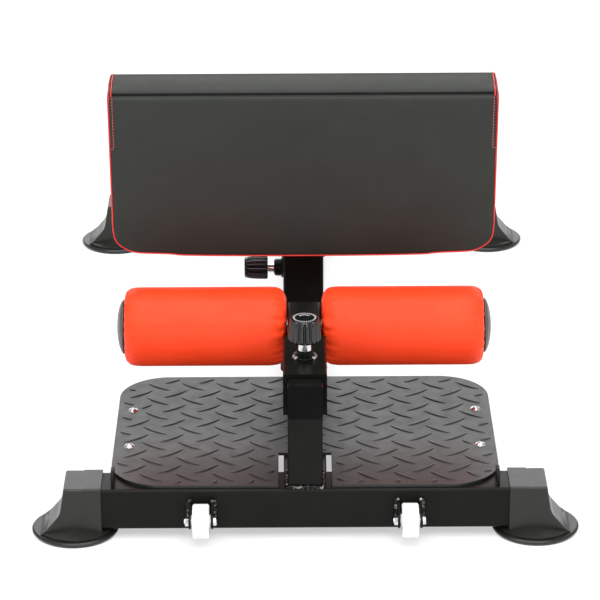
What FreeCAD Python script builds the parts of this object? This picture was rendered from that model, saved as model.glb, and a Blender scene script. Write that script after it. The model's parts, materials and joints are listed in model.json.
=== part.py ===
"""Squat bench with a diamond-plate footboard, ankle rollers on a sliding arm
and a calf pad on a height-adjustable mast.  Millimetres and degrees.

Frame: +Z up, origin on the floor under the middle of the bench, the user
faces -Y, X = 0 is the mirror plane.
"""
import FreeCAD, Part
import os
import re

from FreeCAD import Placement, Rotation, Vector
import Sketcher

# ---------------------------------------------------------------- dimensions
# alias, millimetres (or degrees), meaning
DIMENSIONS = [
    ("tube", 50.0, "side of the main square tube"),
    ("tube_wall", 2.0, "wall of every square tube"),
    ("tube_corner", 3.5, "outside corner radius of the main tube"),
    ("inner_tube", 40.0, "side of the sliding tubes and of the front post"),
    ("inner_corner", 3.0, "outside corner radius of the smaller tube"),
    ("slide_gap", 0.3, "play between a sliding tube and its plastic guide"),
    ("rail_bottom", 12.0, "height of the underside of the frame tubes"),
    ("stabiliser_pitch", 925.0, "distance between the two cross tubes"),
    ("front_tube_y", -454.25, "centre line of the front cross tube"),
    ("stabiliser_length", 540.0, "cut length of both cross tubes"),
    ("foot_x", 267.5, "centre of a rubber foot's disc"),
    ("foot_disc_radius", 50.5, "radius of a foot's disc"),
    ("foot_disc_thick", 6.0, "thickness of the disc at its rim"),
    ("foot_disc_round", 3.0, "rounding under the disc's rim"),
    ("foot_rim_radius", 48.5, "outer radius of the disc's flat rim"),
    ("foot_cone_radius", 45.0, "foot of the low cone on the disc, radius"),
    ("foot_cone_low", 8.5, "foot of the low cone, height"),
    ("foot_cone_high", 15.0, "top of the low cone, height"),
    ("foot_cone_end_x", 303.5, "outer end of the low cone"),
    ("foot_inner_x", 235.5, "inner end of a foot's socket"),
    ("foot_outer_x", 278.5, "outer end of a foot's socket at the top"),
    ("foot_bend_x", 284.0, "where the outer end starts to flare"),
    ("foot_bend_z", 30.0, "height where the outer end starts to flare"),
    ("foot_flare_x", 307.0, "where the outer flare meets the disc"),
    ("foot_flare_mid_x", 299.5, "second bend of the outer flare"),
    ("foot_flare_mid_z", 12.0, "height of the second bend"),
    ("foot_wall", 2.0, "rubber around the tube"),
    ("foot_flare_radius", 25.0, "radius of the concave outer flare"),
    ("foot_edge", 2.5, "rounding of a foot's outer edges"),
    ("foot_collar", 0.6, "how far the inner half of a socket stands proud"),
    ("foot_collar_x", 257.0, "outer end of the proud half"),
    ("post_height", 95.0, "front post between cross tube and sleeve"),
    ("weld_leg", 5.5, "leg of the fillet welds"),
    ("sleeve_length", 108.0, "length of the arm's sleeve"),
    ("sleeve_wall", 2.0, "wall of the sleeve"),
    ("guide_length", 16.0, "length of a plastic guide inside a tube"),
    ("guide_flange", 1.5, "thickness of a sleeve guide's flange"),
    ("arm_front", -25.0, "front end of the arm, from the front face of the frame"),
    ("arm_back", 228.0, "back end of the arm, from the front face of the frame"),
    ("cap_thick", 3.0, "visible thickness of a tube's end cap"),
    ("cap_depth", 12.0, "depth of an end cap's plug"),
    ("index_pitch", 20.0, "pitch of the lock holes"),
    ("index_radius", 4.3, "radius of a lock hole"),
    ("arm_pin_y", 48.0, "lock pin of the arm, from the front face of the frame"),
    ("axle_y", 200.0, "roller axle, from the front face of the frame"),
    ("axle_radius", 10.0, "roller axle outside radius"),
    ("axle_wall", 2.0, "roller axle wall"),
    ("running_fit", 0.05, "radial clearance of a running fit"),
    ("core_radius", 14.0, "outside radius of the tube inside the foam"),
    ("roller_radius", 47.5, "radius of a foam roller"),
    ("roller_inner_x", 20.5, "inner end of a roller's core"),
    ("roller_outer_x", 214.2, "outer end of a roller's core"),
    ("foam_inset", 0.4, "core that shows beyond the foam at each end"),
    ("roller_round", 14.0, "rounding of a roller's shoulders"),
    ("roller_cap_radius", 32.5, "radius of a roller's end cap"),
    ("roller_cap_gap", 0.7, "gap between foam and end cap"),
    ("roller_cap_dome", 8.5, "height of the domed end cap"),
    ("plate_width", 452.0, "footplate width"),
    ("plate_front", 5.0, "front edge of the plate, from the front face of the frame"),
    ("plate_back", 314.0, "back edge of the plate, from the front face of the frame"),
    ("plate_thick", 3.5, "footplate thickness"),
    ("plate_corner", 60.0, "corner radius of the footplate"),
    ("notch_width", 62.0, "notch around the front post"),
    ("notch_back", 92.0, "bottom of the notch, from the front face of the frame"),
    ("plate_bolt_x", 208.0, "footplate bolts, distance from the mirror plane"),
    ("plate_bolt_front", 113.0, "front pair of footplate bolts"),
    ("plate_bolt_back", 215.0, "back pair of footplate bolts"),
    ("plate_bolt_radius", 3.0, "footplate bolt shank radius"),
    ("plate_bolt_head", 6.5, "footplate bolt head radius"),
    ("plate_bolt_dome", 3.2, "footplate bolt head height"),
    ("recess_length", 6.5, "cross recess of a bolt head, length"),
    ("recess_width", 1.4, "cross recess of a bolt head, width"),
    ("recess_depth", 1.2, "cross recess of a bolt head, depth"),
    ("bolt_clearance", 0.25, "radial clearance of a footplate bolt's hole"),
    ("hole_clearance", 0.1, "radial clearance of every other hole"),
    ("bolt_tip", 2.0, "thread that shows below a nut"),
    ("plate_nut", 5.5, "footplate nut, half its width across corners"),
    ("plate_nut_thick", 5.0, "footplate nut thickness"),
    ("strip_thick", 4.0, "flat bar under the plate's bolts"),
    ("strip_width", 26.0, "width of the flat bar"),
    ("strip_length", 130.0, "length of the flat bar"),
    ("bearer_depth", 20.0, "height of the bearer tube under the plate"),
    ("bearer_width", 30.0, "width of the bearer tube under the plate"),
    ("bearer_y", 165.0, "bearer tube, from the front face of the frame"),
    ("bearer_end_x", 221.0, "outer end of the bearer tube"),
    ("ear_x", 222.5, "upright ear beside the plate"),
    ("ear_y", 22.0, "middle of the ear, from the front face of the frame"),
    ("ear_thick", 3.5, "thickness of the upright ear"),
    ("ear_length", 28.0, "length of the upright ear"),
    ("ear_height", 17.0, "height of the upright ear above the tube"),
    ("wheel_x", 120.0, "transport wheel, distance from the mirror plane"),
    ("wheel_y", -22.0, "transport wheel, from the front face of the frame"),
    ("wheel_z", 33.0, "height of the wheel's centre"),
    ("wheel_radius", 20.0, "transport wheel radius"),
    ("wheel_width", 19.0, "transport wheel tread width"),
    ("wheel_hub_width", 22.0, "transport wheel hub width"),
    ("wheel_hub_radius", 7.5, "transport wheel hub radius"),
    ("wheel_dish", 2.0, "depth of the dish between hub and rim"),
    ("wheel_rim", 4.0, "thickness of the wheel's rim"),
    ("wheel_edge", 1.5, "chamfer of the wheel's tread"),
    ("wheel_bolt_radius", 3.0, "wheel bolt shank radius"),
    ("wheel_bolt_head", 5.0, "wheel bolt head radius"),
    ("wheel_bolt_head_thick", 4.0, "wheel bolt head height"),
    ("lug_inner", 11.6, "inside face of a wheel lug, from the wheel's middle"),
    ("lug_thick", 2.6, "thickness of a wheel lug"),
    ("lug_root_low", 15.0, "bottom of a wheel lug where it meets the tube"),
    ("lug_root_high", 48.0, "top of a wheel lug where it meets the tube"),
    ("lug_nose", 9.0, "radius of a wheel lug's nose"),
    ("mast_front", 345.0, "front of the mast, from the front face of the frame"),
    ("mast_height", 152.0, "height of the mast above the rail"),
    ("bush_flange_width", 54.0, "width of the mast bush's flange"),
    ("bush_flange_thick", 3.0, "thickness of the mast bush's flange"),
    ("pad_pin_z", 190.0, "height of the pad's lock pin"),
    ("pad_post_bottom", 76.0, "bottom of the pad post at its lowest setting"),
    ("pad_post_top", 345.0, "top of the pad post at its lowest setting"),
    ("pad_guide_thick", 10.0, "plastic guide under the pad post"),
    ("pad_tilt", 9.1, "lean of the pad's face towards the user, degrees"),
    ("pad_foot_y", 284.0, "lower front edge of the pad, from the frame's front face"),
    ("pad_foot_z", 243.6, "lower front edge of the pad, height"),
    ("pad_width", 465.0, "pad width"),
    ("pad_height", 215.0, "pad height along its face"),
    ("pad_foam", 50.0, "cushion thickness"),
    ("pad_low_corner", 30.0, "radius of the pad's lower corners"),
    ("pad_top_corner", 6.0, "radius of the pad's upper corners"),
    ("board_thick", 12.0, "board behind the cushion"),
    ("board_inset", 6.0, "board's setback from the cushion's outline"),
    ("bracket_width", 140.0, "steel plate behind the board, width"),
    ("bracket_height", 110.0, "steel plate behind the board, height"),
    ("bracket_thick", 4.0, "steel plate behind the board, thickness"),
    ("bracket_corner", 10.0, "steel plate behind the board, corner radius"),
    ("bracket_low", 36.0, "bracket plate's lower edge above the pad's lower edge"),
    ("gusset_thick", 4.0, "gusset thickness"),
    ("gusset_low", 284.0, "lower end of a gusset"),
    ("gusset_reach", 384.0, "back edge of a gusset, from the frame's front face"),
    ("gusset_cut", 20.0, "bevel under a gusset's back edge, along the bench"),
    ("gusset_cut_rise", 24.0, "bevel under a gusset's back edge, upwards"),
    ("gusset_drop", 4.0, "fall of a gusset's top edge towards the back"),
    ("pad_bolt_x", 52.0, "pad bolts, distance from the mirror plane"),
    ("pad_bolt_pitch", 80.0, "pad bolts, distance up the plate"),
    ("pad_bolt_radius", 3.9, "pad bolt shank radius"),
    ("pad_bolt_head", 7.5, "pad bolt head radius"),
    ("pad_bolt_head_thick", 5.0, "pad bolt head height"),
    ("pin_nose", 4.0, "plunger nose radius"),
    ("pin_rod", 2.5, "plunger rod radius"),
    ("pin_collar", 4.9, "plunger collar radius"),
    ("pin_chamber", 5.2, "spring chamber radius in a barrel"),
    ("pin_chamber_floor", 3.0, "floor of the spring chamber above the tube's face"),
    ("pin_lid", 2.0, "closed top of a barrel"),
    ("pin_gap", 0.3, "gap between barrel and knob"),
    ("pin_spigot", 6.0, "threaded end of a barrel, radius"),
    ("arm_boss_radius", 9.3, "boss of the arm's pin, radius"),
    ("arm_boss", 10.0, "boss of the arm's pin, height"),
    ("arm_shank_radius", 7.7, "barrel of the arm's pin, radius"),
    ("arm_shank", 11.3, "barrel of the arm's pin, height above the boss"),
    ("arm_knob_radius", 19.0, "knob of the arm's pin, radius"),
    ("arm_knob", 27.8, "knob of the arm's pin, height"),
    ("pad_boss_radius", 10.5, "boss of the pad's pin, radius"),
    ("pad_boss", 11.5, "boss of the pad's pin, height"),
    ("pad_shank_radius", 6.6, "barrel of the pad's pin, radius"),
    ("pad_shank", 7.5, "barrel of the pad's pin, height above the boss"),
    ("pad_knob_radius", 15.0, "knob of the pad's pin, radius"),
    ("pad_knob", 29.0, "knob of the pad's pin, height"),
    ("knob_edge", 2.5, "bevel at a knob's rims"),
    ("flute_radius", 2.6, "radius of a knob's finger flutes"),
    ("flute_count", 16.0, "flutes around a knob"),
]

doc = FreeCAD.newDocument("squat_bench")
sheet = doc.addObject("Spreadsheet::Sheet", "Sizes")
for row, (alias, number, meaning) in enumerate(DIMENSIONS, start=1):
    sheet.set("A%d" % row, meaning)
    sheet.set("B%d" % row, str(number))
    sheet.setAlias("B%d" % row, alias)
doc.recompute()

ALIASES = {alias for alias, _, _ in DIMENSIONS}
NODES = []


# ------------------------------------------------------------------- helpers
def bound(formula):
    """Turn a formula in plain aliases into one that names the sheet."""
    def named(match):
        word = match.group(0)
        return "Sizes." + word if word in ALIASES else word
    return re.sub(r"\b[a-z]\w*", named, formula)


def value(formula):
    """The present value of a formula."""
    return float(sheet.evalExpression(bound(formula)))


def bind(thing, **formulas):
    """Bind properties of a feature to formulas."""
    for name, formula in formulas.items():
        thing.setExpression(name, bound(formula))


def place(thing, x="0", y="0", z="0", rotation=None):
    """Bind the position of a finished sub-part; rotation is fixed."""
    if rotation is not None:
        thing.Placement = Placement(Vector(0, 0, 0), rotation)
    for axis, formula in zip("xyz", (x, y, z)):
        thing.setExpression("Placement.Base." + axis, bound(formula))


def new_body(label):
    body = doc.addObject("PartDesign::Body", label)
    body.Label = label
    NODES.append(body)
    return body


def new_sketch(body, plane, lift=None):
    """A sketch on one of the body's own origin planes, lifted along its normal."""
    sketch = body.newObject("Sketcher::SketchObject", body.Name + "_sketch")
    support = [f for f in body.Origin.OriginFeatures if f.Role == plane + "_Plane"]
    sketch.AttachmentSupport = (support[0], [""])
    sketch.MapMode = "FlatFace"
    if lift is not None:
        sketch.setExpression("AttachmentOffset.Base.z", bound(lift))
    return sketch


def draw_outline(sketch, points):
    """Closed straight-sided outline; every corner is bound to the sheet."""
    corners = [Vector(value(u), value(v), 0) for u, v in points]
    first = sketch.GeometryCount
    total = len(corners)
    for i, corner in enumerate(corners):
        sketch.addGeometry(Part.LineSegment(corner, corners[(i + 1) % total]), False)
    for i, (u, v) in enumerate(points):
        following = first + (i + 1) % total
        sketch.addConstraint(Sketcher.Constraint("Coincident", first + i, 2, following, 1))
        for kind, formula in (("DistanceX", u), ("DistanceY", v)):
            number = sketch.addConstraint(
                Sketcher.Constraint(kind, -1, 1, first + i, 1, value(formula)))
            sketch.setExpression("Constraints[%d]" % number, bound(formula))


def draw_rectangle(sketch, width, height, u="0", v="0"):
    """Rectangle of a given size centred on (u, v)."""
    left, right = f"{u} - ( {width} ) / 2", f"{u} + ( {width} ) / 2"
    low, high = f"{v} - ( {height} ) / 2", f"{v} + ( {height} ) / 2"
    draw_outline(sketch, [(left, low), (right, low), (right, high), (left, high)])


def draw_circle(sketch, radius, u="0", v="0"):
    centre = Vector(value(u), value(v), 0)
    index = sketch.addGeometry(Part.Circle(centre, Vector(0, 0, 1), value(radius)), False)
    for kind, formula in (("DistanceX", u), ("DistanceY", v)):
        number = sketch.addConstraint(
            Sketcher.Constraint(kind, -1, 1, index, 3, value(formula)))
        sketch.setExpression("Constraints[%d]" % number, bound(formula))
    number = sketch.addConstraint(Sketcher.Constraint("Radius", index, value(radius)))
    sketch.setExpression("Constraints[%d]" % number, bound(radius))


def pad(body, sketch, length, middle=False, backwards=False):
    feature = body.newObject("PartDesign::Pad", body.Name + "_pad")
    feature.Profile = sketch
    feature.Midplane = middle
    feature.Reversed = backwards
    bind(feature, Length=length)
    doc.recompute()
    return feature


def pocket(body, sketch, length, middle=False, backwards=False):
    """Cut a sketch out of the body, and make sure that it removed material."""
    before = body.Shape.Volume
    feature = body.newObject("PartDesign::Pocket", body.Name + "_pocket")
    feature.Profile = sketch
    feature.Midplane = middle
    feature.Reversed = backwards
    bind(feature, Length=length)
    doc.recompute()
    if body.Shape.Volume > before - 1.0:
        raise RuntimeError("a pocket cut nothing in " + body.Label)
    return feature


def turn(body, sketch, kind="Revolution"):
    """Full turn of a sketch drawn on XZ about the body's Z axis."""
    feature = body.newObject("PartDesign::" + kind, body.Name + "_turn")
    feature.Profile = sketch
    axis = [f for f in body.Origin.OriginFeatures if f.Role == "Z_Axis"][0]
    feature.ReferenceAxis = (axis, [""])
    feature.Angle = 360.0
    doc.recompute()
    return feature


def edges_where(feature, test):
    """Names of the feature's edges that pass a test on their end points."""
    names = []
    for i, edge in enumerate(feature.Shape.Edges, start=1):
        ends = [vertex.Point for vertex in edge.Vertexes]
        if len(ends) == 2 and test(ends[0], ends[1]):
            names.append("Edge%d" % i)
    return names


def along(axis):
    """Test for edges parallel to an axis."""
    others = [name for name in "xyz" if name != axis]

    def test(a, b):
        return all(abs(getattr(a, n) - getattr(b, n)) < 0.01 for n in others)
    return test


def fillet(body, feature, test, radius, kind="Fillet"):
    names = edges_where(feature, test)
    if not names:
        raise RuntimeError("no edge to round in " + body.Label)
    rounding = body.newObject("PartDesign::" + kind, body.Name + "_round")
    rounding.Base = (feature, names)
    bind(rounding, **{"Radius" if kind == "Fillet" else "Size": radius})
    doc.recompute()
    return rounding


PLANE_OF = {"x": "YZ", "y": "XZ", "z": "XY"}


def square_tube(label, axis, length, side, wall, corner, depth=None):
    """Hollow tube with rounded corners, centred on its own origin."""
    depth = depth or side
    body = new_body(label)
    outside = new_sketch(body, PLANE_OF[axis])
    draw_rectangle(outside, side, depth)
    block = pad(body, outside, length, middle=True)
    fillet(body, block, along(axis), corner)
    inside = new_sketch(body, PLANE_OF[axis])
    draw_rectangle(inside, f"{side} - 2 * {wall}", f"{depth} - 2 * {wall}")
    pocket(body, inside, length, middle=True)
    return body


def revolved(label, profile):
    """Body of revolution about its own Z axis; profile is (radius, height) pairs."""
    body = new_body(label)
    sketch = new_sketch(body, "XZ")
    draw_outline(sketch, profile)
    turn(body, sketch)
    return body


def fused_copies(label, tool, placements):
    """One sub-part made of identical separate solids, such as a set of bolts."""
    copies = doc.addObject("Part::Feature", label)
    copies.Label = label
    copies.Shape = Part.makeCompound([tool.transformed(p.toMatrix()) for p in placements])
    NODES.append(copies)
    return copies


# ------------------------------------------------------- shared construction
FRONT = "( front_tube_y - tube / 2 )"
BACK_TUBE = "( front_tube_y + stabiliser_pitch )"
TUBE_MID = "( rail_bottom + tube / 2 )"
RAIL_TOP = "( rail_bottom + tube )"
SLEEVE_MID = "( rail_bottom + tube + post_height + tube / 2 )"
SLEEVE_TOP = "( rail_bottom + tube + post_height + tube )"
AXLE_Y = f"{FRONT} + axle_y"
MAST_Y = f"{FRONT} + mast_front + tube / 2"


def build_frame():
    """Cross tubes, base rail, front post, sleeve and mast."""
    for label, y in (("front_stabiliser", "front_tube_y"), ("rear_stabiliser", BACK_TUBE)):
        bar = square_tube(label, "x", "stabiliser_length", "tube", "tube_wall", "tube_corner")
        place(bar, y=y, z=TUBE_MID)
    rail = square_tube("base_rail", "y", "stabiliser_pitch - tube",
                       "tube", "tube_wall", "tube_corner")
    place(rail, y="front_tube_y + stabiliser_pitch / 2", z=TUBE_MID)
    post = square_tube("front_post", "z", "post_height",
                       "inner_tube", "tube_wall", "inner_corner")
    place(post, y="front_tube_y", z=f"{RAIL_TOP} + post_height / 2")
    sleeve = square_tube("arm_sleeve", "y", "sleeve_length",
                         "tube", "sleeve_wall", "tube_corner")
    pin_hole = new_sketch(sleeve, "XY")
    draw_circle(pin_hole, "pin_spigot + hole_clearance", v="arm_pin_y - sleeve_length / 2")
    pocket(sleeve, pin_hole, "tube", backwards=True)
    place(sleeve, y=f"{FRONT} + sleeve_length / 2", z=SLEEVE_MID)
    mast = square_tube("mast", "z", "mast_height", "tube", "tube_wall", "tube_corner")
    pin_hole = new_sketch(mast, "YZ")
    draw_circle(pin_hole, "pin_spigot + hole_clearance",
                v=f"pad_pin_z - {RAIL_TOP} - mast_height / 2")
    pocket(mast, pin_hole, "tube")
    place(mast, y=MAST_Y, z=f"{RAIL_TOP} + mast_height / 2")


def build_weld(label, side, y, z):
    """Fillet weld around the foot of an upright square tube."""
    body = new_body(label)
    outside = new_sketch(body, "XY")
    draw_rectangle(outside, f"{side} + 2 * weld_leg", f"{side} + 2 * weld_leg")
    block = pad(body, outside, "weld_leg")
    top = value("weld_leg")

    def top_edge(a, b):
        return abs(a.z - top) < 0.01 and abs(b.z - top) < 0.01
    fillet(body, block, top_edge, "weld_leg * 0.85", kind="Chamfer")
    inside = new_sketch(body, "XY")
    draw_rectangle(inside, side, side)
    pocket(body, inside, "weld_leg", backwards=True)
    place(body, y=y, z=z)


def build_foot(label, side, y):
    """Rubber foot: a socket over the tube's end, flared to a round disc.

    Modelled for the +X end; the -X foot is the same piece turned half round.
    """
    body = new_body(label)
    inner = "foot_inner_x - foot_x"
    top = f"{RAIL_TOP} + foot_wall"
    disc = new_sketch(body, "XZ")
    draw_outline(disc, [
        ("0", "0"), ("foot_rim_radius", "0"), ("foot_disc_radius", "foot_disc_round"),
        ("foot_disc_radius", "foot_disc_thick - foot_disc_round / 2"),
        ("foot_rim_radius", "foot_disc_thick"), ("foot_cone_radius", "foot_disc_thick"),
        ("foot_cone_radius", "foot_cone_low"), ("tube / 2", "foot_cone_high"),
        ("0", "foot_cone_high")])
    turn(body, disc)
    beyond = new_sketch(body, "XY", lift="foot_disc_thick")
    draw_rectangle(beyond, "foot_disc_radius", "2 * foot_disc_radius",
                   u="foot_cone_end_x - foot_x + foot_disc_radius / 2")
    pocket(body, beyond, "foot_cone_high", backwards=True)
    profile = new_sketch(body, "XZ")
    draw_outline(profile, [
        (inner, "foot_disc_thick / 2"),
        ("foot_flare_x - foot_x", "foot_disc_thick / 2"),
        ("foot_flare_x - foot_x", "foot_disc_thick"),
        ("foot_flare_mid_x - foot_x", "foot_flare_mid_z"),
        ("foot_bend_x - foot_x", "foot_bend_z"),
        ("foot_outer_x - foot_x", top),
        (inner, top)])
    block = pad(body, profile, "tube + 2 * foot_wall", middle=True)
    bend_x = value("foot_bend_x - foot_x")
    bend_z = value("foot_bend_z")
    tube_top = value(RAIL_TOP)
    side_y = value("tube / 2 + foot_wall")
    outer_x = value("foot_outer_x - foot_x - 1")
    ridge_low = value("foot_flare_mid_z") - 0.01

    def flare_edge(a, b):
        return abs(a.x - bend_x) < 0.01 and abs(b.x - bend_x) < 0.01
    smooth = fillet(body, block, flare_edge, "foot_flare_radius")

    def outer_edge(a, b):
        upper = min(a.z, b.z) > bend_z and max(a.z, b.z) > tube_top
        ridge = (min(a.x, b.x) > outer_x and min(a.z, b.z) > ridge_low
                 and abs(abs(a.y) - side_y) < 0.01 and abs(abs(b.y) - side_y) < 0.01)
        return upper or ridge
    fillet(body, smooth, outer_edge, "foot_edge")
    collar = new_sketch(body, "YZ", lift=inner)
    draw_rectangle(collar, "tube + 2 * foot_wall + 2 * foot_collar",
                   f"{top} + foot_collar - foot_disc_thick",
                   v=f"( {top} + foot_collar + foot_disc_thick ) / 2")
    proud = pad(body, collar, "foot_collar_x - foot_inner_x")
    proud_z = value(f"{top} + foot_collar")

    def collar_edge(a, b):
        return along("x")(a, b) and abs(a.z - proud_z) < 0.01
    fillet(body, proud, collar_edge, "foot_edge")
    # The socket runs on inwards over the cone, so the tube rests on it
    socket = new_sketch(body, "YZ", lift=f"{inner} - foot_disc_radius")
    draw_rectangle(socket, "tube", "tube", v=TUBE_MID)
    pocket(body, socket, "stabiliser_length / 2 - foot_inner_x + foot_disc_radius",
           backwards=True)
    rotation = Rotation() if side > 0 else Rotation(Vector(0, 0, 1), 180)
    place(body, x=f"{side} * foot_x", y=y, rotation=rotation)


def build_feet():
    for end, y in (("front", "front_tube_y"), ("rear", BACK_TUBE)):
        for name, side in (("left", -1), ("right", 1)):
            build_foot(f"foot_{end}_{name}", side, y)


def build_footplate():
    """Diamond plate with a notch for the post, and what carries it."""
    body = new_body("footplate")
    half = "plate_width / 2"
    outline = new_sketch(body, "XY")
    draw_outline(outline, [
        (f"- {half}", "plate_front"), ("- notch_width / 2", "plate_front"),
        ("- notch_width / 2", "notch_back"), ("notch_width / 2", "notch_back"),
        ("notch_width / 2", "plate_front"), (half, "plate_front"),
        (half, "plate_back"), (f"- {half}", "plate_back")])
    sheet_metal = pad(body, outline, "plate_thick")
    edge_x = value(half)

    def corner(a, b):
        return along("z")(a, b) and abs(abs(a.x) - edge_x) < 0.01
    fillet(body, sheet_metal, corner, "plate_corner")
    holes = new_sketch(body, "XY")
    for x in ("- plate_bolt_x", "plate_bolt_x"):
        for y in ("plate_bolt_front", "plate_bolt_back"):
            draw_circle(holes, "plate_bolt_radius + bolt_clearance", x, y)
    pocket(body, holes, "plate_thick", backwards=True)
    place(body, y=FRONT, z=RAIL_TOP)

    bearer_length = "bearer_end_x - tube / 2"
    for name, side in (("left", -1), ("right", 1)):
        bearer = square_tube(f"plate_bearer_{name}", "x", bearer_length,
                             "bearer_width", "tube_wall", "inner_corner", "bearer_depth")
        place(bearer, x=f"{side} * ( bearer_end_x + tube / 2 ) / 2", y=f"{FRONT} + bearer_y",
              z=f"{RAIL_TOP} - strip_thick - bearer_depth / 2")
        strip = new_body(f"plate_strip_{name}")
        flat = new_sketch(strip, "XY")
        draw_rectangle(flat, "strip_width", "strip_length")
        pad(strip, flat, "strip_thick")
        holes = new_sketch(strip, "XY")
        middle = "( plate_bolt_front + plate_bolt_back ) / 2"
        for y in ("plate_bolt_front", "plate_bolt_back"):
            draw_circle(holes, "plate_bolt_radius + bolt_clearance", v=f"{y} - {middle}")
        pocket(strip, holes, "strip_thick", backwards=True)
        place(strip, x=f"{side} * plate_bolt_x", y=f"{FRONT} + {middle}",
              z=f"{RAIL_TOP} - strip_thick")
        ear = new_body(f"side_ear_{name}")
        outline = new_sketch(ear, "YZ")
        draw_rectangle(outline, "ear_length", "ear_height", v="ear_height / 2")
        tab = pad(ear, outline, "ear_thick", middle=True)
        top = value("ear_height")

        def upper_corner(a, b):
            return along("x")(a, b) and abs(a.z - top) < 0.01
        fillet(ear, tab, upper_corner, "ear_height * 0.6")
        place(ear, x=f"{side} * ear_x", y=f"{FRONT} + ear_y", z=RAIL_TOP)


def build_plate_bolts():
    """Four domed bolts through plate and strip, with their nuts."""
    grip = value("plate_thick + strip_thick + plate_nut_thick + bolt_tip")
    shank = value("plate_bolt_radius")
    head = value("plate_bolt_head")
    dome = value("plate_bolt_dome")
    ball = (head * head + dome * dome) / (2 * dome)
    cap = Part.makeSphere(ball, Vector(0, 0, dome - ball))
    cap = cap.common(Part.makeCylinder(head, dome))
    length, width, depth = (value("recess_" + name) for name in ("length", "width", "depth"))
    recess = Part.makeBox(length, width, dome, Vector(-length / 2, -width / 2, dome - depth))
    cross = recess.fuse(recess.rotated(Vector(0, 0, 0), Vector(0, 0, 1), 90))
    bolt = cap.fuse(Part.makeCylinder(shank, grip, Vector(0, 0, -grip))).cut(cross)
    corner = Vector(value("plate_nut"), 0, 0)
    hexagon = [Rotation(Vector(0, 0, 1), 60 * i).multVec(corner) for i in range(7)]
    nut = Part.Face(Part.makePolygon(hexagon)).extrude(Vector(0, 0, value("plate_nut_thick")))
    nut = nut.cut(Part.makeCylinder(shank, value("plate_nut_thick")))
    top = value(f"{RAIL_TOP} + plate_thick")
    under = value(f"{RAIL_TOP} - strip_thick - plate_nut_thick")
    spots = [(sx * value("plate_bolt_x"), value(f"{FRONT} + {y}"))
             for sx in (-1, 1) for y in ("plate_bolt_front", "plate_bolt_back")]
    fused_copies("plate_bolts", bolt, [Placement(Vector(x, y, top), Rotation()) for x, y in spots])
    fused_copies("plate_nuts", nut, [Placement(Vector(x, y, under), Rotation()) for x, y in spots])


def build_wheels():
    """Two transport wheels on bolts between lugs on the front cross tube."""
    for name, side in (("left", -1), ("right", 1)):
        half = "wheel_width / 2"
        hub = "wheel_hub_width / 2"
        bore = "wheel_bolt_radius + running_fit"
        rim = "wheel_radius - wheel_rim"
        wheel = revolved(f"wheel_{name}", [
            (bore, f"- {hub}"), ("wheel_hub_radius", f"- {hub}"),
            ("wheel_hub_radius", f"- {half} + wheel_dish"), (rim, f"- {half} + wheel_dish"),
            (rim, f"- {half}"), ("wheel_radius - wheel_edge", f"- {half}"),
            ("wheel_radius", f"- {half} + wheel_edge"), ("wheel_radius", f"{half} - wheel_edge"),
            ("wheel_radius - wheel_edge", half), (rim, half),
            (rim, f"{half} - wheel_dish"), ("wheel_hub_radius", f"{half} - wheel_dish"),
            ("wheel_hub_radius", hub), (bore, hub)])
        place(wheel, x=f"{side} * wheel_x", y=f"{FRONT} + wheel_y", z="wheel_z",
              rotation=Rotation(Vector(0, 1, 0), 90))

        for edge, offset in (("inner", -1), ("outer", 1)):
            lug = new_body(f"wheel_lug_{name}_{edge}")
            outline = new_sketch(lug, "YZ")
            draw_outline(outline, [
                ("- wheel_y", "lug_root_low - wheel_z"),
                ("- wheel_y", "lug_root_high - wheel_z"),
                ("0", "lug_nose"), ("- lug_nose", "lug_nose"),
                ("- lug_nose", "- lug_nose"), ("0", "- lug_nose")])
            blank = pad(lug, outline, "lug_thick", middle=True)
            nose_y = value("- lug_nose")

            def nose(a, b):
                return along("x")(a, b) and abs(a.y - nose_y) < 0.01
            fillet(lug, blank, nose, "lug_nose * 0.98")
            hole = new_sketch(lug, "YZ")
            draw_circle(hole, "wheel_bolt_radius")
            pocket(lug, hole, "lug_thick", middle=True)
            place(lug, x=f"{side} * wheel_x + {side * offset} * ( lug_inner + lug_thick / 2 )",
                  y=f"{FRONT} + wheel_y", z="wheel_z")

    reach = value("lug_inner + lug_thick")
    head = value("wheel_bolt_head")
    thick = value("wheel_bolt_head_thick")
    shank = value("wheel_bolt_radius")
    bolt = Part.makeCylinder(shank, 2 * reach + thick + 1, Vector(-reach - thick - 1, 0, 0),
                             Vector(1, 0, 0))
    button = Part.makeCylinder(head, thick, Vector(reach, 0, 0), Vector(1, 0, 0))
    button = button.makeFillet(thick * 0.4, [button.Edges[0]])
    bolt = bolt.fuse(button)
    corner = Vector(0, head * 1.1, 0)
    hexagon = [Rotation(Vector(1, 0, 0), 60 * i).multVec(corner) for i in range(7)]
    nut = Part.Face(Part.makePolygon(hexagon)).extrude(Vector(thick, 0, 0))
    nut = nut.cut(Part.makeCylinder(shank, thick, Vector(0, 0, 0), Vector(1, 0, 0)))
    centres = [Vector(s * value("wheel_x"), value(f"{FRONT} + wheel_y"), value("wheel_z"))
               for s in (-1, 1)]
    fused_copies("wheel_bolts", bolt, [Placement(c, Rotation()) for c in centres])
    beside = Vector(-reach - thick, 0, 0)
    fused_copies("wheel_nuts", nut, [Placement(c + beside, Rotation()) for c in centres])


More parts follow.
